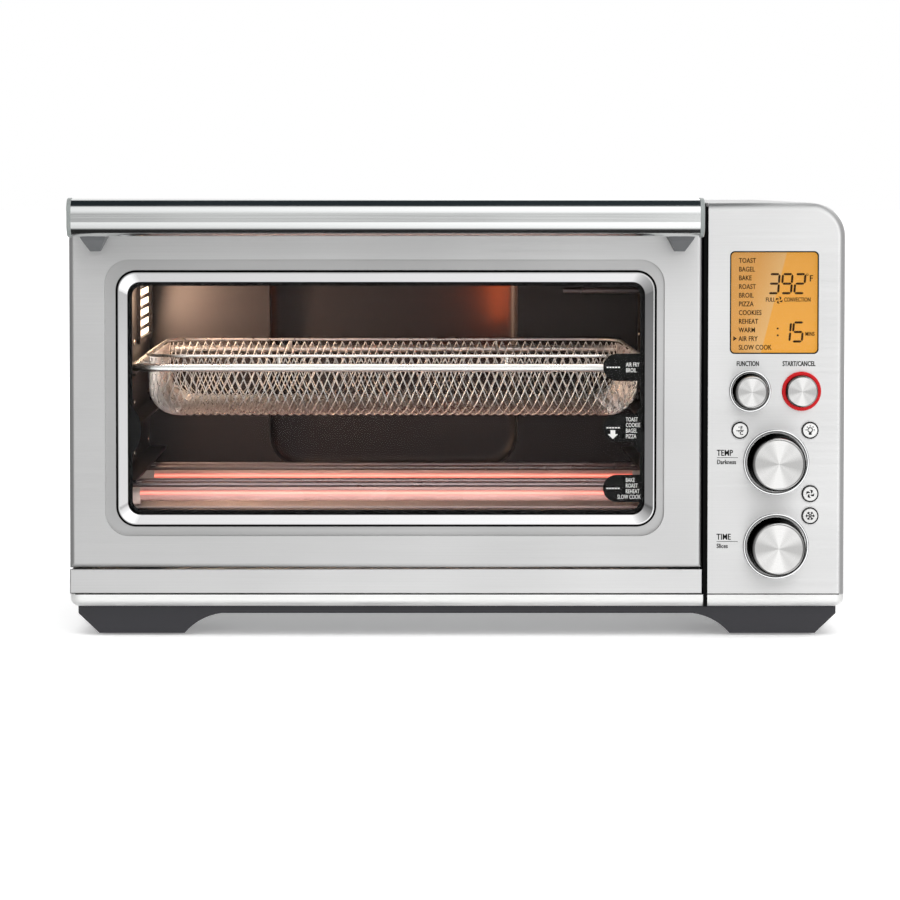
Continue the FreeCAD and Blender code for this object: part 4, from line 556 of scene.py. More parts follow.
def build_finishes(scene):
    """Every finish of the oven: the plain rows first, then those that follow the settings or the frame."""
    for maker, rows in ((brushed, BRUSHED), (moulded, MOULDED), (polished, POLISHED), (ink, INKS), (glazed, GLAZED)):
        for key, row in rows.items():
            FINISH[key] = maker(*row)
    look, heat = scene.oven_finish, scene.oven_heat
    along_x, along_y = (7.0, 1100.0, 1100.0), (1100.0, 7.0, 1100.0)
    recess = low("door_skin").y + 1.2 * MM
    # painted light: the panel and tray front use the door's steel made 8 percent lighter
    FINISH["panel_steel_painted_light"] = brushed("panel_steel_painted_light", shade(look.steel, 1.08), look.steel_rough, along_x, 0.06, 0.03,
                                    aniso=0.85)
    # the door steel gets a painted shade in its recess round the window
    FINISH["door_steel"] = brushed("door_steel", look.steel, look.steel_rough, along_x, 0.06, 0.03, aniso=0.85,
                                   painted_shade_from=recess)
    # painted shade: the case uses the same steel made 30 percent darker, so its lit sides stay below white
    FINISH["case_steel_painted_shade"] = brushed("case_steel_painted_shade", shade(look.steel, 0.70), look.steel_rough - 0.1, along_y, 0.05,
                                   0.025, metallic=0.82)
    FINISH["handle_steel"] = brushed("handle_steel", look.handle, 0.15, (5.0, 1500.0, 1500.0), 0.04, 0.02)
    FINISH["liner"] = brushed("liner_steel", look.liner, 0.46, (12.0, 500.0, 500.0), 0.02, 0.05, metallic=0.5)
    # painted reflection: the base trim's white colour and diffuse share stand in for the bright floor it reflects
    FINISH["trim_painted_bright"] = polished("trim_painted_bright", (1.0, 1.0, 0.99), 0.5, metallic=0.6)
    FINISH["polish"] = polished("polished_trim", look.polish)
    lo, hi = low("window_bezel"), high("window_bezel")
    FINISH["bezel"] = edged("bezel_metal", (0.76, 0.76, 0.765), 0.10, lo.x + BEZEL_LAP, hi.x - BEZEL_LAP,
                            lo.z + BEZEL_LAP, hi.z - BEZEL_LAP, BEZEL_CORNER, 0.7 * MM)
    FINISH["dark"] = moulded("dark_plastic", look.plastic)
    FINISH["red"] = moulded("start_red", look.red, 0.4, 0.03, 2400.0)
    FINISH["red"].node_tree.nodes["Principled BSDF"].inputs["Specular IOR Level"].default_value = 0.25
    FINISH["quartz"] = coil_tube("quartz_hot", heat.glow, (1.0, 0.30, 0.22), heat.glow_strength)
    FINISH["quartz_cool"] = coil_tube("quartz_warm", shade(heat.glow, 0.3), (0.5, 0.06, 0.03), 0.3)
    FINISH["lamp"] = glowing("lamp_lit", heat.lamp, 3.2, (1.0, 0.88, 0.70))


CAD_FINISH = {
    "panel_steel_painted_light": ("control_panel", "crumb_tray_front"),
    "door_steel": ("door_skin",),
    "trim_painted_bright": ("base_trim",),
    "case_steel_painted_shade": ("outer_case",),
    "handle_steel": ("handle_bar",),
    "bezel": ("window_bezel",),
    "polish": ("knob_rings", "case_screws", "handle_screws", "hinge_pins"),
    "guard_wire": ("element_guards", "temperature_probe", "hinge_springs"),
    "liner": ("cavity_liner", "cavity_back", "rack_rails", "fan_cover"),
    "trough": ("element_reflectors",),
    "reflector": ("fan_rotor", "front_frame", "door_inner_frame"),
    "plain_steel": ("base_plate", "rear_panel", "bay_divider", "hinge_arms"),
    "tray": ("crumb_tray",),
    "dark": ("base_moulding", "rear_spacers", "cord_gland", "panel_carrier", "rotary_encoders", "button_switches"),
    "bracket": ("handle_brackets",),
    "cap": ("handle_caps",),
    "rubber": ("foot_pads",),
    "strip": ("gap_strip",),
    "board": ("control_board", "power_board"),
    "ceramic": ("element_holders",),
    "motor": ("fan_motor",),
    "red": ("start_ring",),
    "button": ("unit_button", "light_button", "fan_button", "frozen_button"),
    "glass": ("door_glass", "inner_glass"),
    "display_glass": ("lcd_window",),
    "lamp": ("lamp_lens", "oven_lamp"),
}
SPUN_NODES = ("function_knob", "temperature_knob", "time_knob", "start_button")


# ---------------------------------------------------------------- mesh helpers
def add_object(name, mesh, material, body):
    """Link a finished mesh, give it a material, a body and a material slot."""
    piece = bpy.data.objects.new(name, mesh)
    bpy.context.scene.collection.objects.link(piece)
    if material is not None:
        mesh.materials.clear()
        mesh.materials.append(material)
    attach(piece, body)
    return piece


def smooth(mesh, degrees=35.0):
    """Smooth faces with sharp edges past an angle."""
    mesh.polygons.foreach_set("use_smooth", [True] * len(mesh.polygons))
    mesh.set_sharp_from_angle(angle=math.radians(degrees))


def rounded_outline(x0, x1, z0, z1, r, steps=8):
    """Corners of a rounded rectangle, anticlockwise from the lower right."""
    points = []
    for cx, cz, start in ((x1 - r, z0 + r, -90), (x1 - r, z1 - r, 0), (x0 + r, z1 - r, 90), (x0 + r, z0 + r, 180)):
        for i in range(steps + 1):
            a = math.radians(start + 90 * i / steps)
            points.append((cx + r * math.cos(a), cz + r * math.sin(a)))
    return points


def slab(bm, outline, y, thickness):
    """Closed plate from an (x, z) outline; its front face lies at y and it goes back by thickness."""
    front = [bm.verts.new((x, y, z)) for x, z in outline]
    back = [bm.verts.new((x, y + thickness, z)) for x, z in outline]
    bm.faces.new(front)
    bm.faces.new(back[::-1])
    count = len(outline)
    for i in range(count):
        j = (i + 1) % count
        bm.faces.new((front[j], front[i], back[i], back[j]))


def band(bm, outer, inner, y, thickness):
    """Closed flat ring between two outlines with the same number of points."""
    count = len(outer)
    rows = []
    for outline, depth in ((outer, 0.0), (inner, 0.0), (inner, thickness), (outer, thickness)):
        rows.append([bm.verts.new((x, y + depth, z)) for x, z in outline])
    for k in range(4):
        a, b = rows[k], rows[(k + 1) % 4]
        for i in range(count):
            j = (i + 1) % count
            bm.faces.new((a[i], b[i], b[j], a[j]))


def plate(bm, x0, x1, z0, z1, y, thickness):
    """Closed rectangular plate."""
    slab(bm, [(x0, z0), (x1, z0), (x1, z1), (x0, z1)], y, thickness)


def circle_outline(x, z, r, steps):
    """Points round a circle."""
    return [(x + r * math.cos(2 * math.pi * i / steps), z + r * math.sin(2 * math.pi * i / steps))
            for i in range(steps)]


def circle_band(bm, x, z, outer, inner, y, thickness, steps):
    """Closed flat ring between two circles."""
    band(bm, circle_outline(x, z, outer, steps), circle_outline(x, z, inner, steps), y, thickness)


def block(bm, lo, hi):
    """Box between two corners."""
    bmesh.ops.create_cube(bm, size=1.0)
    for v in bm.verts:
        v.co = lo + Vector([(v.co[k] + 0.5) * (hi[k] - lo[k]) for k in range(3)])


def mesh_from(bm, name):
    """Mesh from a bmesh, with its faces turned outwards."""
    bmesh.ops.recalc_face_normals(bm, faces=bm.faces)
    mesh = bpy.data.meshes.new(name)
    bm.to_mesh(mesh)
    bm.free()
    return mesh


def add_print(bm, name, key, body):
    """Turn printed marks into a piece with one finish."""
    return add_object(name, mesh_from(bm, name), FINISH[key], body)


def add_word(bm, text, x, z, height, y, align, squeeze, bold):
    """Add one word as flat letters that stand on (x, z) and face -Y; bold letters are doubled sideways."""
    depth = 0.04 * MM
    curve = bpy.data.curves.new("word", "FONT")
    curve.body = text
    curve.size = height * CAPITAL_TO_EM
    curve.align_x = align
    curve.extrude = depth / 2
    curve.offset = bold * height * 0.6
    curve.space_character = 1.0 + bold * 1.6
    curve.resolution_u = 3
    holder = bpy.data.objects.new("word", curve)
    bpy.context.scene.collection.objects.link(holder)
    mesh = bpy.data.meshes.new_from_object(holder)
    thicken = bold * height * 0.8
    for vertex in mesh.vertices:
        px, py, pz = vertex.co
        vertex.co = (x + px * squeeze - thicken, y + depth / 2 - pz, z + py)
    bm.from_mesh(mesh)
    for vertex in mesh.vertices:
        vertex.co.x += 2 * thicken
        vertex.co.y -= depth / 4
    bm.from_mesh(mesh)
    bpy.data.objects.remove(holder)
    bpy.data.curves.remove(curve)
    bpy.data.meshes.remove(mesh)


# ---------------------------------------------------------------- geometry node trees
def geometry_tree(name, inputs):
    """Geometry node tree with a Geometry input and output and named inputs."""
    tree = bpy.data.node_groups.new(name, "GeometryNodeTree")
    tree.interface.new_socket("Geometry", in_out="INPUT", socket_type="NodeSocketGeometry")
    for label, kind, value in inputs:
        socket = tree.interface.new_socket(label, in_out="INPUT", socket_type=kind)
        if value is not None:
            socket.default_value = value
    tree.interface.new_socket("Geometry", in_out="OUTPUT", socket_type="NodeSocketGeometry")
    return tree, tree.nodes.new("NodeGroupInput"), tree.nodes.new("NodeGroupOutput")


def end_tree(tree, gin, gout, geometry):
    """Realize Instances, then Set Material."""
    real = tree.nodes.new("GeometryNodeRealizeInstances")
    paint = tree.nodes.new("GeometryNodeSetMaterial")
    wire_up(tree, (geometry, real.inputs[0]), (real.outputs[0], paint.inputs["Geometry"]),
            (gin.outputs["Material"], paint.inputs["Material"]), (paint.outputs[0], gout.inputs[0]))


def sweep_tree():
    """Round wire along every run of edges."""
    tree, gin, gout = geometry_tree("wire_sweep", [
        ("Radius", "NodeSocketFloat", MM), ("Sides", "NodeSocketInt", 8), ("Material", "NodeSocketMaterial", None)])
    path = tree.nodes.new("GeometryNodeMeshToCurve")
    section = tree.nodes.new("GeometryNodeCurvePrimitiveCircle")
    sweep = tree.nodes.new("GeometryNodeCurveToMesh")
    sweep.inputs["Fill Caps"].default_value = True
    soft = tree.nodes.new("GeometryNodeSetShadeSmooth")
    wire_up(tree, (gin.outputs["Geometry"], path.inputs["Mesh"]), (gin.outputs["Radius"], section.inputs["Radius"]),
            (gin.outputs["Sides"], section.inputs["Resolution"]), (path.outputs["Curve"], sweep.inputs["Curve"]),
            (section.outputs["Curve"], sweep.inputs["Profile Curve"]), (sweep.outputs["Mesh"], soft.inputs["Geometry"]))
    end_tree(tree, gin, gout, soft.outputs["Geometry"])
    return tree


def bars_tree():
    """A bar of one size on every point."""
    tree, gin, gout = geometry_tree("bars_on_points", [
        ("Size", "NodeSocketVector", (0.01, 0.001, 0.001)), ("Tilt", "NodeSocketVector", (0.0, 0.0, 0.0)),
        ("Material", "NodeSocketMaterial", None)])
    bar = tree.nodes.new("GeometryNodeMeshCube")
    place = tree.nodes.new("GeometryNodeInstanceOnPoints")
    wire_up(tree, (gin.outputs["Size"], bar.inputs["Size"]), (gin.outputs["Geometry"], place.inputs["Points"]),
            (bar.outputs["Mesh"], place.inputs["Instance"]), (gin.outputs["Tilt"], place.inputs["Rotation"]))
    end_tree(tree, gin, gout, place.outputs["Instances"])
    return tree


def rivet_tree():
    """A low dome on every point, turned to face along the given rotation."""
    tree, gin, gout = geometry_tree("rivets_on_points", [
        ("Radius", "NodeSocketFloat", 0.002), ("Flatten", "NodeSocketVector", (1.0, 0.45, 1.0)),
        ("Material", "NodeSocketMaterial", None)])
    dome = tree.nodes.new("GeometryNodeMeshUVSphere")
    dome.inputs["Segments"].default_value = 16
    dome.inputs["Rings"].default_value = 8
    soft = tree.nodes.new("GeometryNodeSetShadeSmooth")
    place = tree.nodes.new("GeometryNodeInstanceOnPoints")
    wire_up(tree, (gin.outputs["Radius"], dome.inputs["Radius"]), (dome.outputs["Mesh"], soft.inputs["Geometry"]),
            (gin.outputs["Geometry"], place.inputs["Points"]), (soft.outputs["Geometry"], place.inputs["Instance"]),
            (gin.outputs["Flatten"], place.inputs["Scale"]))
    end_tree(tree, gin, gout, place.outputs["Instances"])
    return tree


TREES = {}


def grown(tree_name, name, vertices, edges, values, body):
    """Run a tree on points or edges, keep the plain mesh it gives."""
    if tree_name not in TREES:
        TREES[tree_name] = {"sweep": sweep_tree, "bars": bars_tree, "rivets": rivet_tree}[tree_name]()
    tree = TREES[tree_name]
    seed = bpy.data.meshes.new(name + "_path")
    seed.from_pydata(vertices, edges, [])
    holder = bpy.data.objects.new(name + "_path", seed)
    bpy.context.scene.collection.objects.link(holder)
    modifier = holder.modifiers.new("tree", "NODES")
    modifier.node_group = tree
    sockets = {item.name: item.identifier for item in tree.interface.items_tree if item.in_out == "INPUT"}
    for label, value in values.items():
        modifier[sockets[label]] = value
    depsgraph = bpy.context.evaluated_depsgraph_get()
    mesh = bpy.data.meshes.new_from_object(holder.evaluated_get(depsgraph))
    mesh.name = name
    bpy.data.objects.remove(holder)
    bpy.data.meshes.remove(seed)
    return add_object(name, mesh, None, body)


def loop_edges(count):
    """Edges of a closed loop."""
    return [(i, (i + 1) % count) for i in range(count)]


# ---------------------------------------------------------------- basket
WEAVE = 0.45                    # how far a crossing wire stands off, in wire radii


class Tub:
    """Rounded tub outline: point and outward direction at a distance along its rim."""

    def __init__(self, x0, x1, y0, y1, corner):
        self.box = (x0, x1, y0, y1)
        self.corner = corner
        sx, sy = (x1 - x0) - 2 * corner, (y1 - y0) - 2 * corner
        arc = math.pi * corner / 2
        self.runs = [sx, arc, sy, arc, sx, arc, sy, arc]
        self.around = sum(self.runs)

    def at(self, s):
        """Point (x, y) and outward (nx, ny) at distance s from the front left corner's end."""
        x0, x1, y0, y1 = self.box
        c = self.corner
        s = s % self.around
        starts = [((x0 + c, y0), (1, 0), (0, -1)), ((x1 - c, y0 + c), -90), ((x1, y0 + c), (0, 1), (1, 0)),
                  ((x1 - c, y1 - c), 0), ((x1 - c, y1), (-1, 0), (0, 1)), ((x0 + c, y1 - c), 90),
                  ((x0, y1 - c), (0, -1), (-1, 0)), ((x0 + c, y0 + c), 180)]
        for run, start in zip(self.runs, starts):
            if s <= run or start is starts[-1]:
                if len(start) == 3:
                    (px, py), (dx, dy), normal = start
                    return (px + dx * s, py + dy * s), normal
                (cx, cy), angle = start
                a = math.radians(angle) + s / c
                return (cx + c * math.cos(a), cy + c * math.sin(a)), (math.cos(a), math.sin(a))
            s -= run


class OVEN_OT_basket(bpy.types.Operator):
    """Wire mesh tub, its double rim and the rod frame that it hangs in"""
    bl_idname = "oven.basket"
    bl_label = "Basket"

    def execute(self, context):
        size = context.scene.oven_basket
        lo, hi = low("basket_mesh"), high("basket_mesh")
        self.walls(size, lo, hi)
        self.floor(size, lo, hi)
        self.rods(size, lo, hi)
        return {"FINISHED"}

    def walls(self, size, lo, hi):
        """Two families of slanting wires down the walls and round the turn to the bottom."""
        tub = Tub(lo.x + size.wire, hi.x - size.wire, lo.y + size.wire, hi.y - size.wire, size.corner)
        under_rim = 2.6 * MM
        top = hi.z - under_rim
        straight = top - lo.z - size.turn
        arc = size.turn * math.pi / 2
        slope = size.cell_width / size.cell_height
        count = int(round(tub.around / size.cell_width))
        pitch = tub.around / count
        steps = 11
        vertices, edges = [], []
        for family in (-1, 1):
            for i in range(count):
                first = len(vertices)
                for k in range(steps + 1):
                    d = (straight + arc) * k / steps
                    (x, y), (nx, ny) = tub.at(i * pitch + family * slope * d)
                    drop, inward = d, 0.0
                    if d > straight:
                        angle = (d - straight) / size.turn
                        drop = straight + size.turn * math.sin(angle)
                        inward = size.turn * (1 - math.cos(angle))
                    weave = family * size.wire * WEAVE
                    vertices.append((x - nx * (inward + weave), y - ny * (inward + weave), top - drop))
                edges += [(first + k, first + k + 1) for k in range(steps)]
        wires = self.wire("basket_mesh_walls", vertices, edges, size.wire, 4, "mesh_wire")
        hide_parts("basket_mesh")

    def floor(self, size, lo, hi):
        """The same two families across the flat bottom."""
        x0, x1 = lo.x + size.turn, hi.x - size.turn
        y0, y1 = lo.y + size.turn, hi.y - size.turn
        level = lo.z + size.wire * 1.6
        slope = size.cell_width / size.cell_height
        vertices, edges = [], []
        run = (y1 - y0) * slope
        total = int((x1 - x0 + run) / size.cell_width)
        for family in (-1, 1):
            for i in range(total + 1):
                start = (x0 - run if family > 0 else x0) + i * size.cell_width
                clipped = self.clip([(start, y0), (start + family * run, y1)], x0, x1)
                if clipped is None:
                    continue
                first = len(vertices)
                vertices += [(x, y, level + family * size.wire * WEAVE) for x, y in clipped]
                edges.append((first, first + 1))
        self.wire("basket_mesh_floor", vertices, edges, size.wire, 4, "mesh_wire")

    @staticmethod
    def wire(name, vertices, edges, radius, sides, key):
        """Round wires of the basket along runs of edges."""
        values = {"Radius": radius, "Sides": sides, "Material": FINISH[key]}
        return grown("sweep", name, vertices, edges, values, "basket")

    @staticmethod
    def clip(ends, x0, x1):
        """Part of a line between two x limits, or None."""
        (ax, ay), (bx, by) = ends
        t0, t1 = 0.0, 1.0
        dx = bx - ax
        for limit, sign in ((x0, 1), (x1, -1)):
            inside_a, inside_b = sign * (ax - limit), sign * (bx - limit)
            if inside_a < 0 and inside_b < 0:
                return None
            if inside_a < 0:
                t0 = max(t0, (limit - ax) / dx)
            elif inside_b < 0:
                t1 = min(t1, (limit - ax) / dx)
        if t1 - t0 < 0.01:
            return None
        return [(ax + dx * t, ay + (by - ay) * t) for t in (t0, t1)]

    @staticmethod
    def hoop(tub, level, samples):
        """Points of a closed loop round a tub's outline at one height."""
        return [(*tub.at(tub.around * i / samples)[0], level) for i in range(samples)]

    def rods(self, size, lo, hi):
        """Rim wire, frame rod and the hangers between them."""
        rim_top = hi.z - size.rim
        outer = Tub(lo.x - size.rim, hi.x + size.rim, lo.y - size.rim, hi.y + size.rim,
                    size.corner + size.rim + size.wire)
        samples = 96
        self.wire("basket_rim_wires", self.hoop(outer, rim_top, samples), loop_edges(samples), size.rim, 10,
                  "mesh_wire")
        frame_lo, frame_hi = low("basket_frame"), high("basket_frame")
        rod_z = frame_lo.z + size.rod
        rod_x = (frame_lo.x + size.rod, frame_hi.x - size.rod)
        rod_y = (frame_lo.y + size.rod, frame_hi.y - size.rod)
        loop = Tub(*rod_x, *rod_y, 12.0 * MM)
        rod = self.wire("basket_rod", self.hoop(loop, rod_z, 2 * samples), loop_edges(2 * samples), size.rod, 20,
                        "wire")
        clear, side_inset, end_inset = 1.5 * MM, 58 * MM, 84 * MM
        feet = []
        for y in (lo.y + side_inset, (lo.y + hi.y) / 2, hi.y - side_inset):
            feet += [((rod_x[0], y), (lo.x - clear, y)), ((rod_x[1], y), (hi.x + clear, y))]
        for x in (lo.x + end_inset, hi.x - end_inset):
            feet += [((x, rod_y[0]), (x, lo.y - clear)), ((x, rod_y[1]), (x, hi.y + clear))]
        vertices, edges = [], []
        for at_rod, at_wall in feet:
            first = len(vertices)
            vertices += [(*at_rod, rod_z), (*at_wall, rod_z), (*at_wall, rim_top - size.rim)]
            edges += [(first, first + 1), (first + 1, first + 2)]
        self.wire("basket_hangers", vertices, edges, 1.1 * MM, 12, "wire")
        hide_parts("basket_frame")


# ---------------------------------------------------------------- door window
class OVEN_OT_window(bpy.types.Operator):
    """Black print behind the door glass with shelf marks, and a painted shadow in the gap round the bezel"""
    bl_idname = "oven.window"
    bl_label = "Window print"

    def execute(self, context):
        lo, hi = low("window_bezel"), high("window_bezel")
        inset = BEZEL_LAP + BEZEL_WIDTH
        x0, x1, z0, z1 = lo.x + inset, hi.x - inset, lo.z + inset, hi.z - inset
        back = high("door_glass").y + 0.02 * MM
        self.print_black(x0, x1, z0, z1, back)
        self.print_white(x1, z0, z1, back)
        self.seam(lo.x + BEZEL_LAP, hi.x - BEZEL_LAP, lo.z + BEZEL_LAP, hi.z - BEZEL_LAP)
        return {"FINISHED"}

    def print_black(self, x0, x1, z0, z1, y):
        """Border, two edge arcs and three tabs."""
        bm = bmesh.new()
        edge, outside, thin, layer = 2.6 * MM, 1.6 * MM, 0.05 * MM, 0.06 * MM
        outer = rounded_outline(x0 - outside, x1 + outside, z0 - outside, z1 + outside, 9.5 * MM)
        inner = rounded_outline(x0 + edge, x1 - edge, z0 + edge, z1 - edge, 6.2 * MM)
        band(bm, outer, inner, y, thin)
        below_middle, half, bulge, steps = 20.2 * MM, 16.7 * MM, 8.0 * MM, 16
        mid = (z0 + z1) / 2 - below_middle
        radius = (half * half + bulge * bulge) / (2 * bulge)
        reach = math.asin(half / radius)
        for x_edge, side in ((x0, 1), (x1, -1)):
            cx = x_edge + side * (bulge - radius)
            arc = []
            for i in range(steps + 1):
                a = -reach + 2 * reach * i / steps
                arc.append((cx + side * radius * math.cos(a), mid + radius * math.sin(a)))
            slab(bm, arc[::side], y + layer, thin)
        r, length_in, steps = 8.5 * MM, 25.5 * MM, 14
        for z in self.tab_levels(z0, z1):
            tab = [(x1, z - r)]
            for i in range(steps + 1):
                a = math.radians(-90 - 180 * i / steps)
                tab.append((x1 - length_in + r + r * math.cos(a), z + r * math.sin(a)))
            tab.append((x1, z + r))
            slab(bm, tab, y + 2 * layer, thin)
        add_print(bm, "glass_black_print", "black_print", "door")

    @staticmethod
    def tab_levels(z0, z1):
        """Heights of the three shelf marks."""
        return [z0 + (z1 - z0) * share for share in (0.632, 0.372, 0.111)]

    def print_white(self, x1, z0, z1, y):
        """Dashes, arrow and plain cooking words on the tabs, on the glass's room side."""
        bm = bmesh.new()
        front, thin = y - 0.03 * MM, 0.02 * MM
        dash, dash_pitch, dash_half, letter, pitch = 1.3 * MM, 1.75 * MM, 0.4 * MM, 2.6 * MM, 3.5 * MM
        words = (("AIR FRY", "BROIL"), ("TOAST", "COOKIE", "BAGEL", "PIZZA"), ("BAKE", "ROAST", "REHEAT", "SLOW COOK"))
        for z, lines in zip(self.tab_levels(z0, z1), words):
            for i in range(5):
                x = x1 - 23.4 * MM + i * dash_pitch
                plate(bm, x, x + dash, z - dash_half, z + dash_half, front, thin)
            top = z + pitch * (len(lines) / 2 - 0.5) - letter / 2
            for i, word in enumerate(lines):
                wide = len(word) > len("AIR FRY")
                add_word(bm, word, x1 - (2.0 if wide else 11.4) * MM, top - i * pitch, letter, front,
                         "RIGHT" if wide else "LEFT", 0.64, 0.010)
        z = self.tab_levels(z0, z1)[1]
        ax = x1 - 19.4 * MM
        arrow = ((-3.2, -4.0), (0.0, -7.0), (3.2, -4.0), (1.5, -4.0), (1.5, -1.5), (-1.5, -1.5), (-1.5, -4.0))
        slab(bm, [(ax + dx * MM, z + dz * MM) for dx, dz in arrow], front, thin)
        add_print(bm, "glass_white_print", "white_print", "door")

    def seam(self, x0, x1, z0, z1):
        """Painted shadow: a near-black band that fills the gap between the bezel and the door skin and shows as a line.
        """
        bm = bmesh.new()
        gap, recess, steps = 0.6 * MM, 2.75 * MM, 10
        outer = rounded_outline(x0 - gap, x1 + gap, z0 - gap, z1 + gap, BEZEL_CORNER + 0.5 * MM, steps)
        inner = rounded_outline(x0, x1, z0, z1, BEZEL_CORNER, steps)
        band(bm, outer, inner, low("door_skin").y + recess, 0.9 * MM)
        add_print(bm, "bezel_seam", "seam", "door")


# ---------------------------------------------------------------- display
SEGMENTS = {"1": "bc", "2": "abged", "3": "abgcd", "5": "afgcd", "9": "abcdfg"}


class OVEN_OT_display(bpy.types.Operator):
    """Lit display with its digits, words and fan mark"""
    bl_idname = "oven.display"
    bl_label = "Display"

    def execute(self, context):
        look = context.scene.oven_display
        FINISH["display_ink"] = ink("display_ink", look.ink, 0.6)
        lo, hi = low("lcd_module"), high("lcd_module")
        self.backlight(look, lo, hi)
        edge = 3.0 * MM
        self.print_ink(look, lo.x + edge, hi.x - edge, lo.z + edge, hi.z - edge, lo.y + 0.04 * MM)
        self.border()
        return {"FINISHED"}

    def backlight(self, look, lo, hi):
        """Module box with a bevelled frame, a lit face and a paler diagonal of painted glare."""
        bm = bmesh.new()
        block(bm, lo + Vector((0.0, 0.1 * MM, 0.0)), hi)
        bmesh.ops.bevel(bm, geom=bm.edges[:], offset=0.4 * MM, segments=2, affect="EDGES")
        mesh = mesh_from(bm, "display_backlight")
        material, tree, shader, where = blank("display_lit")
        across, _, up = parts_of(tree, measured_from(tree, where, (lo + hi) / 2))
        lean, glare_left, glare_right = 0.257, -16.0 * MM, 0.3 * MM
        slant = math_node(tree, "SUBTRACT", across, math_node(tree, "MULTIPLY", up, lean))
        amber = look.amber
        tone = ramp(tree, span(tree, slant, 0.0, 1.0, glare_left, glare_right), [
            (0.0, (0.82, 0.40, 0.09)), (0.97, (0.90, 0.55, 0.22)), (1.0, (1.0, amber[1] * 1.14, amber[2] * 3.2))])
        half = (hi.z - lo.z) / 2
        fade = span(tree, up, 1.06, 0.88, -half, half)
        dress(tree, shader, emission_color=scaled_colour(tree, tone, fade), base_color=(0.10, 0.05, 0.012, 1.0),
              emission_strength=look.brightness, roughness=0.5)
        piece = add_object("display_backlight", mesh, material, "chassis")
        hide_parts("lcd_module")

    def digit(self, bm, look, x, z, height, shape, y):
        """Seven-segment digit standing on (x, z); a segment is 2b thick, with bevelled ends and gaps between."""
        wide, half, b = height * 0.50, height / 2, height * 0.0575
        gap, bevel = b * 0.3, b * 1.3

        def lean(points):
            return [(px + (pz - z) * look.lean, pz) for px, pz in points]

        def flat(cx0, cx1, cz):
            return lean([(cx0 + gap, cz), (cx0 + bevel, cz - b), (cx1 - bevel, cz - b), (cx1 - gap, cz),
                         (cx1 - bevel, cz + b), (cx0 + bevel, cz + b)])

        def upright(cx, cz0, cz1):
            return lean([(cx, cz0 + gap), (cx + b, cz0 + bevel), (cx + b, cz1 - bevel), (cx, cz1 - gap),
                         (cx - b, cz1 - bevel), (cx - b, cz0 + bevel)])

        shapes = {
            "a": flat(x, x + wide, z + height), "g": flat(x, x + wide, z + half), "d": flat(x, x + wide, z),
            "f": upright(x, z + half, z + height), "b": upright(x + wide, z + half, z + height),
            "e": upright(x, z, z + half), "c": upright(x + wide, z, z + half),
        }
        for key in SEGMENTS[shape]:
            slab(bm, shapes[key], y, PRINT)

    def print_ink(self, look, x0, x1, z0, z1, y):
        """Words down the left, temperature above, time below; places are shares of the display's sides."""
        bm = bmesh.new()
        wide, tall = x1 - x0, z1 - z0
        words = ("TOAST", "BAGEL", "BAKE", "ROAST", "BROIL", "PIZZA", "COOKIES", "REHEAT", "WARM", "AIR FRY",
                 "SLOW COOK")
        pitch = tall * 0.0845
        letter = pitch * 0.56
        for i, word in enumerate(words):
            z = z1 - tall * 0.115 - i * pitch
            add_word(bm, word, x0 + wide * 0.105, z, letter, y, "LEFT", 0.76, 0.025)
            if word == "AIR FRY":
                pointer, tip = x0 + wide * 0.045, x0 + wide * 0.085
                slab(bm, [(pointer, z), (tip, z + letter * 0.5), (pointer, z + letter)], y, PRINT)
        big = tall * 0.185
        base = z1 - tall * 0.41
        for i, shape in enumerate("392"):
            self.digit(bm, look, x0 + wide * (0.44 + 0.145 * i), base, big, shape, y)
        add_word(bm, "F", x0 + wide * 0.90, base + big * 0.62, letter * 1.3, y, "LEFT", 0.8, 0.03)
        circle_band(bm, x0 + wide * 0.875, base + big * 0.97, 0.75 * MM, 0.42 * MM, y, PRINT, 12)
        fan_mark(bm, x0 + wide * 0.56, z1 - tall * 0.478, 2.3 * MM, y, PRINT)
        line = z1 - tall * 0.492
        for word, across, align, squeeze in (("FULL", 0.515, "RIGHT", 0.72), ("CONVECTION", 0.615, "LEFT", 0.66)):
            add_word(bm, word, x0 + wide * across, line, letter * 0.86, y, align, squeeze, 0.03)
        base = z1 - tall * 0.88
        for across, shape in ((0.57, "1"), (0.71, "5")):
            self.digit(bm, look, x0 + wide * across, base, big, shape, y)
        for k in (0.32, 0.68):
            slab(bm, circle_outline(x0 + wide * 0.545, base + big * k, 0.62 * MM, 10), y, PRINT)
        add_word(bm, "MINS", x0 + wide * 0.855, base + big * 0.3, letter * 0.8, y, "LEFT", 0.72, 0.03)
        add_print(bm, "display_ink", "display_ink", "chassis")

    def border(self):
        """Painted shadow: a dark line round the display's opening, on the front of its window."""
        lo, hi = low("lcd_window"), high("lcd_window")
        inset, wide, corner = 2.9 * MM, 0.9 * MM, 3.0 * MM
        x0, x1, z0, z1 = lo.x + inset, hi.x - inset, lo.z + inset, hi.z - inset
        bm = bmesh.new()
        band(bm, rounded_outline(x0, x1, z0, z1, corner),
             rounded_outline(x0 + wide, x1 - wide, z0 + wide, z1 - wide, corner - 0.6 * MM), lo.y - 0.05 * MM, PRINT)
        add_print(bm, "display_border", "black_print", "chassis")


def fan_mark(bm, x, z, r, y, depth):
    """Four swept blades round a hub."""
    steps, sweep, wide, hub = 6, 1.0, 0.80, 0.12
    out = [(i, 0.0) for i in range(1, steps + 1)]
    back = [(i, wide) for i in range(steps, 0, -1)]
    for k in range(4):
        blade = []
        for i, lead in out + back:
            a, d = math.pi * k / 2 + lead + sweep * i / steps, r * (hub + (1 - hub) * i / steps)
            blade.append((x + d * math.cos(a), z + d * math.sin(a)))
        slab(bm, blade, y, depth)


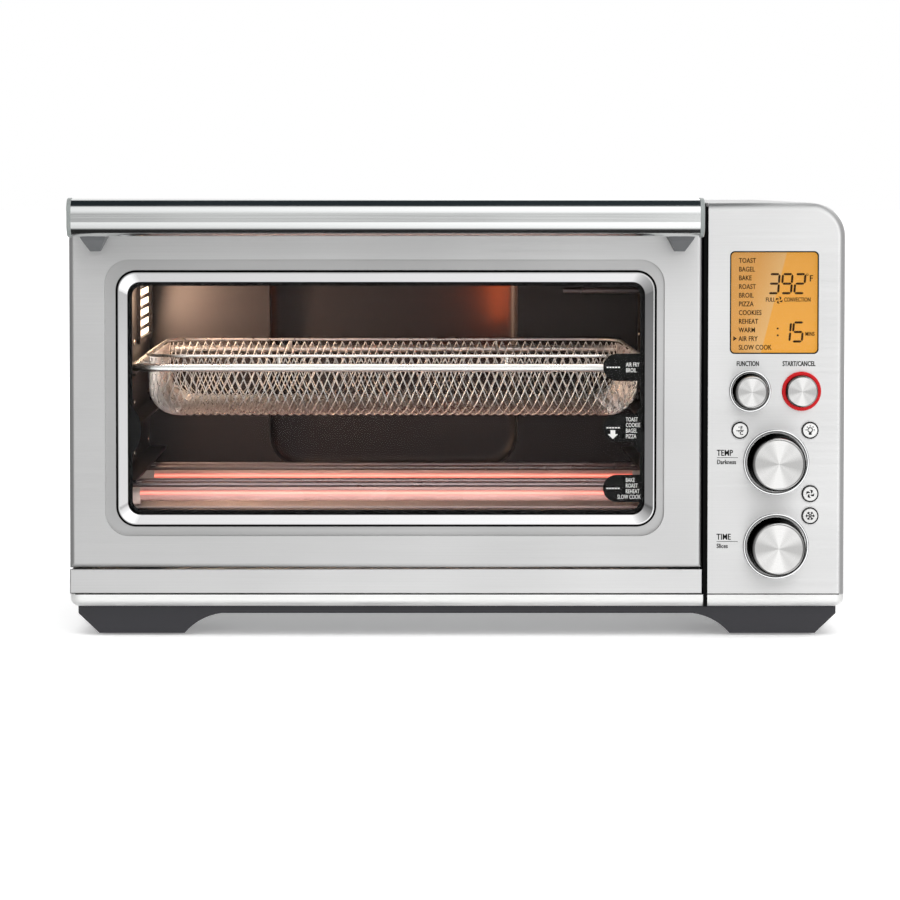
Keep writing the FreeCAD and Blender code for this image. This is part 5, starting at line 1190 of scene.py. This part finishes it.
# ---------------------------------------------------------------- panel print
class OVEN_OT_labels(bpy.types.Operator):
    """Plain labels on the panel and marks on the four small buttons"""
    bl_idname = "oven.labels"
    bl_label = "Panel labels"

    def execute(self, context):
        y = low("control_panel").y - 0.03 * MM
        bm = bmesh.new()
        self.words(bm, y)
        add_print(bm, "panel_print", "label_print", "chassis")
        self.button_marks()
        self.base_line()
        return {"FINISHED"}

    def base_line(self):
        """Dark shadow line where the tray strip and the panel sit on the base trim."""
        lo, hi = low("base_trim"), high("base_trim")
        under, over, round_end = 0.2 * MM, 0.5 * MM, 3.4 * MM
        bm = bmesh.new()
        plate(bm, lo.x + round_end, hi.x - round_end, hi.z - under, hi.z + over, lo.y - 0.02 * MM, 0.05 * MM)
        add_print(bm, "trim_top_line", "seam", "chassis")

    def words(self, bm, y):
        """Words beside the knobs, each with its line."""
        for node, word, aside, squeeze in (("function_knob", "FUNCTION", 1.5 * MM, 0.61),
                                           ("start_button", "START/CANCEL", 1.6 * MM, 0.64)):
            centre = middle(node)
            add_word(bm, word, centre.x - aside, centre.z + 15.6 * MM, 3.0 * MM, y, "CENTER", squeeze, 0.04)
        left, line = low("control_panel").x + 5.6 * MM, 13.0 * MM
        for node, word, small in (("temperature_knob", "TEMP", "Darkness"), ("time_knob", "TIME", "Slices")):
            z = middle(node).z + 4.0 * MM
            add_word(bm, word, left, z, 3.7 * MM, y, "LEFT", 0.76, 0.028)
            plate(bm, left, left + line, z - 1.35 * MM, z - 1.05 * MM, y, 0.04 * MM)
            add_word(bm, small, left, z - 5.2 * MM, 2.75 * MM, y, "LEFT", 0.76, 0.035)

    def button_marks(self):
        """Fan, snowflake, lamp and unit marks, each on its own button."""
        depth = 0.04 * MM
        for node, draw in (("unit_button", self.unit), ("light_button", self.lamp), ("fan_button", self.fan),
                           ("frozen_button", self.flake)):
            centre = middle(node)
            y = low(node).y - 0.03 * MM
            bm = bmesh.new()
            draw(bm, centre.x, centre.z, y, depth)
            edge = (high(node).x - low(node).x) / 2 - 1.0 * MM
            circle_band(bm, centre.x, centre.z, edge, edge - 0.7 * MM, y, depth, 40)
            add_print(bm, node + "_mark", "label_print", node + "_body")

    @staticmethod
    def stroke(bm, ax, az, bx, bz, wide, y, depth):
        """Straight printed line."""
        d = Vector((bx - ax, bz - az)).normalized() * wide / 2
        slab(bm, [(ax - d.y, az + d.x), (bx - d.y, bz + d.x), (bx + d.y, bz - d.x), (ax + d.y, az - d.x)], y, depth)

    def ray(self, bm, x, z, a, near, far, wide, y, depth):
        """Printed line at an angle, between two distances from (x, z)."""
        self.stroke(bm, x + near * math.cos(a), z + near * math.sin(a), x + far * math.cos(a), z + far * math.sin(a),
                    wide, y, depth)

    def unit(self, bm, x, z, y, depth):
        """F over C, each with its degree ring, and a line between."""
        for letter, down, up in (("F", -0.4 * MM, 2.0 * MM), ("C", 2.75 * MM, -0.75 * MM)):
            add_word(bm, letter, x + 0.8 * MM, z - down, 2.3 * MM, y, "CENTER", 0.85, 0.05)
            circle_band(bm, x - 0.7 * MM, z + up, 0.42 * MM, 0.2 * MM, y, depth, 10)
        self.stroke(bm, x - 2.4 * MM, z - 0.3 * MM, x + 2.4 * MM, z + 0.1 * MM, 0.45 * MM, y - 0.01 * MM, depth)

    def fan(self, bm, x, z, y, depth):
        """Four blades."""
        fan_mark(bm, x, z, 2.7 * MM, y, depth)

    def flake(self, bm, x, z, y, depth):
        """Six arms, each with two short twigs."""
        twig_at, twig, lean = 1.7 * MM, 1.1 * MM, 0.9
        for k in range(6):
            a = math.pi * k / 3
            self.ray(bm, x, z, a, 0.3 * MM, 2.8 * MM, 0.65 * MM, y, depth)
            twig_x, twig_z = x + twig_at * math.cos(a), z + twig_at * math.sin(a)
            for side in (-1, 1):
                self.ray(bm, twig_x, twig_z, a + side * lean, 0.0, twig, 0.5 * MM, y - 0.01 * MM, depth)

    def lamp(self, bm, x, z, y, depth):
        """Bulb, its cap and five rays."""
        bulb = z + 0.3 * MM
        circle_band(bm, x, bulb, 1.7 * MM, 1.1 * MM, y, depth, 20)
        plate(bm, x - 0.9 * MM, x + 0.9 * MM, z - 2.7 * MM, z - 1.4 * MM, y, depth)
        for k in range(5):
            self.ray(bm, x, bulb, math.pi * k / 4, 2.1 * MM, 2.9 * MM, 0.65 * MM, y, depth)


# ---------------------------------------------------------------- cavity
def area_light(name, power, rgb, place, turn, wide, deep):
    """Rectangular light; turn is in degrees."""
    data = bpy.data.lights.new(name, "AREA")
    data.energy = power
    data.color = rgb
    data.shape = "RECTANGLE"
    data.size, data.size_y = wide, deep
    lamp = bpy.data.objects.new(name, data)
    lamp.location = place
    lamp.rotation_euler = [math.radians(angle) for angle in turn]
    bpy.context.scene.collection.objects.link(lamp)
    return lamp


class OVEN_OT_cavity(bpy.types.Operator):
    """Hot coils in the quartz tubes, lamp grille, rivets and the lamps that light the cavity"""
    bl_idname = "oven.cavity"
    bl_label = "Cavity"

    def execute(self, context):
        self.elements()
        self.grille()
        self.rivets()
        self.lights(context.scene.oven_heat)
        self.insulation()
        return {"FINISHED"}

    def elements(self):
        """Quartz tubes with a coil inside each, hotter below."""
        lo, hi = low("heating_elements"), high("heating_elements")
        r, sides = 5.0 * MM, 28
        places = [(y, z) for z in (lo.z + r, hi.z - r) for y in (lo.y + r, hi.y - r)]
        for index, (y, z) in enumerate(places):
            hot = z < (lo.z + hi.z) / 2
            bm = bmesh.new()
            rows = []
            for x, radius in ((lo.x, r * 0.2), (lo.x, r), (hi.x, r), (hi.x, r * 0.2)):
                rows.append([bm.verts.new((x, *point)) for point in circle_outline(y, z, radius, sides)])
            for a, b in zip(rows, rows[1:]):
                for i in range(sides):
                    j = (i + 1) % sides
                    bm.faces.new((a[i], a[j], b[j], b[i]))
            bm.faces.new(rows[0][::-1])
            bm.faces.new(rows[-1])
            mesh = mesh_from(bm, "quartz_tube_%d" % index)
            smooth(mesh)
            tube = add_object("quartz_tube_%d" % index, mesh, FINISH["quartz" if hot else "quartz_cool"], "chassis")
            if index == 0:
                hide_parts("heating_elements")

    def grille(self):
        """Louvres in front of the lit lamp window."""
        lo, hi = low("lamp_lens"), high("lamp_lens")
        count, stand_off, louvre = 5, 1.2 * MM, (2.0 * MM, hi.y - lo.y + 4 * MM, 1.6 * MM)
        step = (hi.z - lo.z) / (count + 1)
        points = [(hi.x + stand_off, (lo.y + hi.y) / 2, lo.z + step * (i + 1)) for i in range(count)]
        grown("bars", "lamp_grille", points, [],
              {"Size": louvre, "Tilt": (0.0, 0.5, 0.0), "Material": FINISH["reflector"]}, "chassis")
        bm = bmesh.new()
        lap, lip = 3 * MM, 1 * MM
        outer = rounded_outline(lo.y - lap, hi.y + lap, lo.z - lap, hi.z + lap, lap)
        inner = rounded_outline(lo.y + lip, hi.y - lip, lo.z + lip, hi.z - lip, 1.5 * MM)
        band(bm, outer, inner, hi.x, 2.4 * MM)
        for v in bm.verts:              # drawn in X and Z, then turned to face the side wall's X
            v.co = (v.co.y, v.co.x, v.co.z)
        add_print(bm, "lamp_frame", "liner", "chassis")

    def rivets(self):
        """Domed rivets that hold the rails to the side walls."""
        lo, hi = low("cavity_liner"), high("cavity_liner")
        rail = low("rack_rails").z + 9 * MM
        wall, points = 0.8 * MM, []
        for x in (lo.x + wall, hi.x - wall):
            for y in (lo.y + 22 * MM, (lo.y + hi.y) / 2, hi.y - 20 * MM):
                points += [(x, y, rail + step) for step in (0.0, 34 * MM, 74 * MM)]
        grown("rivets", "rail_rivets", points, [],
              {"Radius": 2.2 * MM, "Flatten": (0.45, 1.0, 1.0), "Material": FINISH["reflector"]}, "chassis")

    def lights(self, heat):
        """Warm lamp at the left wall, soft light under the top, and glow over the lower coils."""
        lens_lo, lens_hi = low("lamp_lens"), high("lamp_lens")
        floor, top = low("element_reflectors").z, high("cavity_liner").z
        middle_x = (low("cavity_liner").x + high("cavity_liner").x) / 2
        lens_y = (lens_lo.y + lens_hi.y) / 2
        pink, pale_pink, ember = (1.0, 0.66, 0.62), (1.0, 0.88, 0.86), (1.0, 0.15, 0.025)
        # name, watts, colour, place, turn in degrees, width, depth
        rows = (
            ("cavity_lamp", heat.lamp_power, heat.lamp, (lens_hi.x + 8 * MM, lens_y, lens_hi.z - 12 * MM),
             (0, -80, 0), 0.05, 0.03),
            ("lamp_spill", 0.12, heat.lamp, (lens_hi.x + 24 * MM, -0.01, lens_hi.z - 14 * MM), (0, 90, 0), 0.03, 0.12),
            ("cavity_fill", heat.fill_power, (1.0, 0.90, 0.82), (middle_x, -0.128, top - 10 * MM), (8, 0, 0), 0.30,
             0.012),
            ("cavity_glow", 0.02, (1.0, 0.40, 0.30), (middle_x, -0.03, floor + 34 * MM), (180, 0, 0), 0.28, 0.10),
            ("coil_glow", 0.05, pink, (middle_x, -0.125, floor + 40 * MM), (42, 0, 0), 0.30, 0.01),
            ("sill_glow", 0.035, pale_pink, (middle_x, -0.114, floor + 34 * MM), (24, 0, 0), 0.32, 0.008),
            ("bulge_glow", 0.05, ember, (middle_x + 0.076, 0.146, 0.208), (90, 0, 38), 0.008, 0.05),
        )
        for row in rows:
            lamp = area_light(*row)
            lamp.visible_camera = False
            lamp.visible_transmission = False

    def insulation(self):
        """Wool blankets with a quilted, uneven surface, in place of the plain blocks."""
        lo, hi = low("insulation"), high("insulation")
        liner_back, top_z = high("cavity_liner").y, high("cavity_liner").z
        blankets = (
            ("top", Vector((lo.x, lo.y, top_z)), Vector((hi.x, liner_back, hi.z))),
            ("rear", Vector((lo.x, liner_back + 0.6 * MM, lo.z)), Vector((lo.x + 80 * MM, hi.y, top_z - 1 * MM))),
        )
        skin, uneven = 0.35 * MM, 1.1 * MM
        generator = random.Random(7)
        for name, a, b in blankets:
            bm = bmesh.new()
            block(bm, a, b)
            bmesh.ops.subdivide_edges(bm, edges=bm.edges[:], cuts=14, use_grid_fill=True)
            centre = (a + b) / 2
            for v in bm.verts:
                pull = skin + generator.random() * uneven
                v.co += (centre - v.co).normalized() * pull
            mesh = mesh_from(bm, "insulation_" + name)
            smooth(mesh, 60.0)
            piece = add_object("insulation_" + name, mesh, FINISH["wool"], "chassis")
            if name == "top":
                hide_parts("insulation")


# ---------------------------------------------------------------- finishes
class OVEN_OT_finishes(bpy.types.Operator):
    """Give every carried-over part its finish"""
    bl_idname = "oven.finishes"
    bl_label = "Finishes"

    def execute(self, context):
        build_finishes(context.scene)
        for name, nodes in CAD_FINISH.items():
            for node in nodes:
                self.paint(node, FINISH[name])
        look = context.scene.oven_finish
        for node in SPUN_NODES:
            radius = (high(node).x - low(node).x) / 2
            taper = 1.3 * MM if node == "start_button" else 0.13 * radius
            self.paint(node, spun(node + "_metal", look.knob, middle(node), radius - taper))
        return {"FINISHED"}

    @staticmethod
    def paint(node, material):
        """Assign a material to a CAD node's slots."""
        piece = cad_object(node)
        if not piece.material_slots:
            piece.data.materials.append(material)
        for place in piece.material_slots:
            place.material = material


def cad_object(node):
    """The object that holds a CAD node."""
    value = frame["nodes"][node]
    return value if isinstance(value, bpy.types.Object) else bpy.data.objects[value]


# ---------------------------------------------------------------- stage
class OVEN_OT_stage(bpy.types.Operator):
    """Pale floor, soft studio light and the camera"""
    bl_idname = "oven.stage"
    bl_label = "Stage"

    def execute(self, context):
        stage = context.scene.oven_stage
        self.floor()
        self.world(context.scene)
        self.lamps()
        self.camera(context.scene, stage)
        context.scene.view_settings.view_transform = "Standard"
        return {"FINISHED"}

    def floor(self):
        """Large pale floor with a soft finish."""
        bm = bmesh.new()
        bmesh.ops.create_grid(bm, x_segments=4, y_segments=4, size=30.0)
        mesh = bpy.data.meshes.new("studio_floor")
        bm.to_mesh(mesh)
        bm.free()
        material, tree, shader, where = blank("studio_white")
        tone = noise_node(tree, where, 3.0)
        tone = ramp(tree, tone, greys((0.3, 0.93), (0.7, 0.95)))
        reach = vector_node(tree, "LENGTH", where)
        near, far = 0.5, 1.8            # the floor's own light grows between these distances
        glow = span(tree, reach.outputs["Value"], 0.0, 1.0, near, far)
        dress(tree, shader, base_color=tone, roughness=0.6, specular_ior_level=0.2, emission_strength=0.6,
              emission_color=ramp(tree, glow, greys((0.0, 0.42), (1.0, 1.0))))
        mesh.materials.append(material)
        floor = bpy.data.objects.new("studio_floor", mesh)
        bpy.context.scene.collection.objects.link(floor)
        floor.visible_glossy = False

    def world(self, scene):
        """White to the eye; to reflections, a soft box ahead with darker sides, roof and horizon."""
        world = bpy.data.worlds.new("studio")
        scene.world = world
        world.use_nodes = True
        tree = world.node_tree
        background = tree.nodes["Background"]
        where = tree.nodes.new("ShaderNodeTexCoord").outputs["Generated"]
        x, _, z = parts_of(tree, where)
        height = span(tree, z, 0.0, 1.0, -1.0, 1.0)
        roof = [(0.935, (0.018, 0.024, 0.027)), (1.0, (0.016, 0.022, 0.025))]
        up = ramp(tree, height, greys(
            (0.0, 0.02), (0.06, 0.03), (0.13, 0.80), (0.40, 0.96), (0.475, 0.86), (0.490, 0.38), (0.510, 0.38),
            (0.53, 0.62), (0.60, 0.74), (0.64, 0.95), (0.88, 0.95)) + roof)
        sideways = span(tree, x, 0.0, 1.0, -0.8, 0.8)
        across = ramp(tree, sideways, greys(
            (0.0, 0.20), (0.15, 0.23), (0.32, 0.42), (0.44, 0.64), (0.58, 1.0), (0.84, 1.0), (0.93, 0.42),
            (1.0, 0.30)))
        seen = vector_node(tree, "MULTIPLY", up, across)
        ray = tree.nodes.new("ShaderNodeLightPath")
        plain = math_node(tree, "MAXIMUM", ray.outputs["Is Camera Ray"], ray.outputs["Is Diffuse Ray"])
        mix = tree.nodes.new("ShaderNodeMix")
        mix.data_type = "RGBA"
        colour_a, colour_b, mixed = mix.inputs[6], mix.inputs[7], mix.outputs[2]
        wire_up(tree, (plain, mix.inputs["Factor"]), (seen.outputs[0], colour_a))
        gain = 1.6                      # reflections see the studio this much brighter than the white backdrop
        colour_b.default_value = (*grey(1.0 / gain), 1.0)
        tree.links.new(mixed, background.inputs["Color"])
        background.inputs["Strength"].default_value = gain

    def lamps(self):
        """Wide soft lights above and to the right of the front."""
        white = (1.0, 1.0, 1.0)
        for row in (("top_soft", 22.0, white, (0.0, -0.5, 2.2), (12, 0, 0), 2.6, 1.8),
                    ("right_soft", 5.0, white, (2.0, -1.4, 0.9), (75, 0, 55), 1.2, 1.2)):
            area_light(*row).visible_glossy = False

    def camera(self, scene, stage):
        """Long lens, level with the oven's top, half tilted and half shifted down to the frame's middle."""
        face = low("door_skin").y
        data = bpy.data.cameras.new("front_camera")
        data.sensor_width = 36.0
        data.lens = data.sensor_width * stage.distance / stage.across
        drop = (stage.eye - stage.aim) / 2
        tilt = math.atan(drop / stage.distance)
        data.shift_y = -drop / stage.across
        data.shift_x = (stage.aside - stage.off_centre) / stage.across
        data.clip_end = 60.0
        camera = bpy.data.objects.new("front_camera", data)
        camera.location = (-stage.aside, face - stage.distance, stage.eye)
        camera.rotation_euler = (math.radians(90) - tilt, 0.0, 0.0)
        scene.collection.objects.link(camera)
        scene.camera = camera


class OVEN_PT_sidebar(bpy.types.Panel):
    """The oven's settings and pieces"""
    bl_idname = "OVEN_PT_sidebar"
    bl_label = "Toaster Oven"
    bl_space_type = "VIEW_3D"
    bl_region_type = "UI"
    bl_category = "Oven"

    def draw(self, context):
        layout = self.layout
        for attribute in SETTINGS:
            box = layout.box()
            box.label(text=attribute.replace("oven_", "").capitalize())
            group = getattr(context.scene, attribute)
            for key in group.bl_rna.properties.keys():
                if key not in ("rna_type", "name"):
                    box.prop(group, key)
        for operator in OPERATORS:
            layout.operator(operator.bl_idname)


SETTINGS = {
    "oven_finish": OvenFinishSettings,
    "oven_basket": OvenBasketSettings,
    "oven_heat": OvenHeatSettings,
    "oven_display": OvenDisplaySettings,
    "oven_stage": OvenStageSettings,
}
OPERATORS = (OVEN_OT_finishes, OVEN_OT_basket, OVEN_OT_window, OVEN_OT_display, OVEN_OT_labels, OVEN_OT_cavity,
             OVEN_OT_stage)


def register():
    """Register settings, operators and the panel."""
    for cls in (*SETTINGS.values(), *OPERATORS, OVEN_PT_sidebar):
        bpy.utils.register_class(cls)
    for attribute, cls in SETTINGS.items():
        setattr(bpy.types.Scene, attribute, bpy.props.PointerProperty(type=cls))


def unregister():
    """Take everything back out."""
    for attribute in SETTINGS:
        delattr(bpy.types.Scene, attribute)
    for cls in (OVEN_PT_sidebar, *reversed(OPERATORS), *reversed(list(SETTINGS.values()))):
        bpy.utils.unregister_class(cls)


def main():
    """Make the whole oven."""
    register()
    for operator in OPERATORS:
        group, name = operator.bl_idname.split(".")
        if getattr(getattr(bpy.ops, group), name)() != {"FINISHED"}:
            raise RuntimeError(operator.bl_label + " did not finish")


if __name__ == "__main__":
    main()
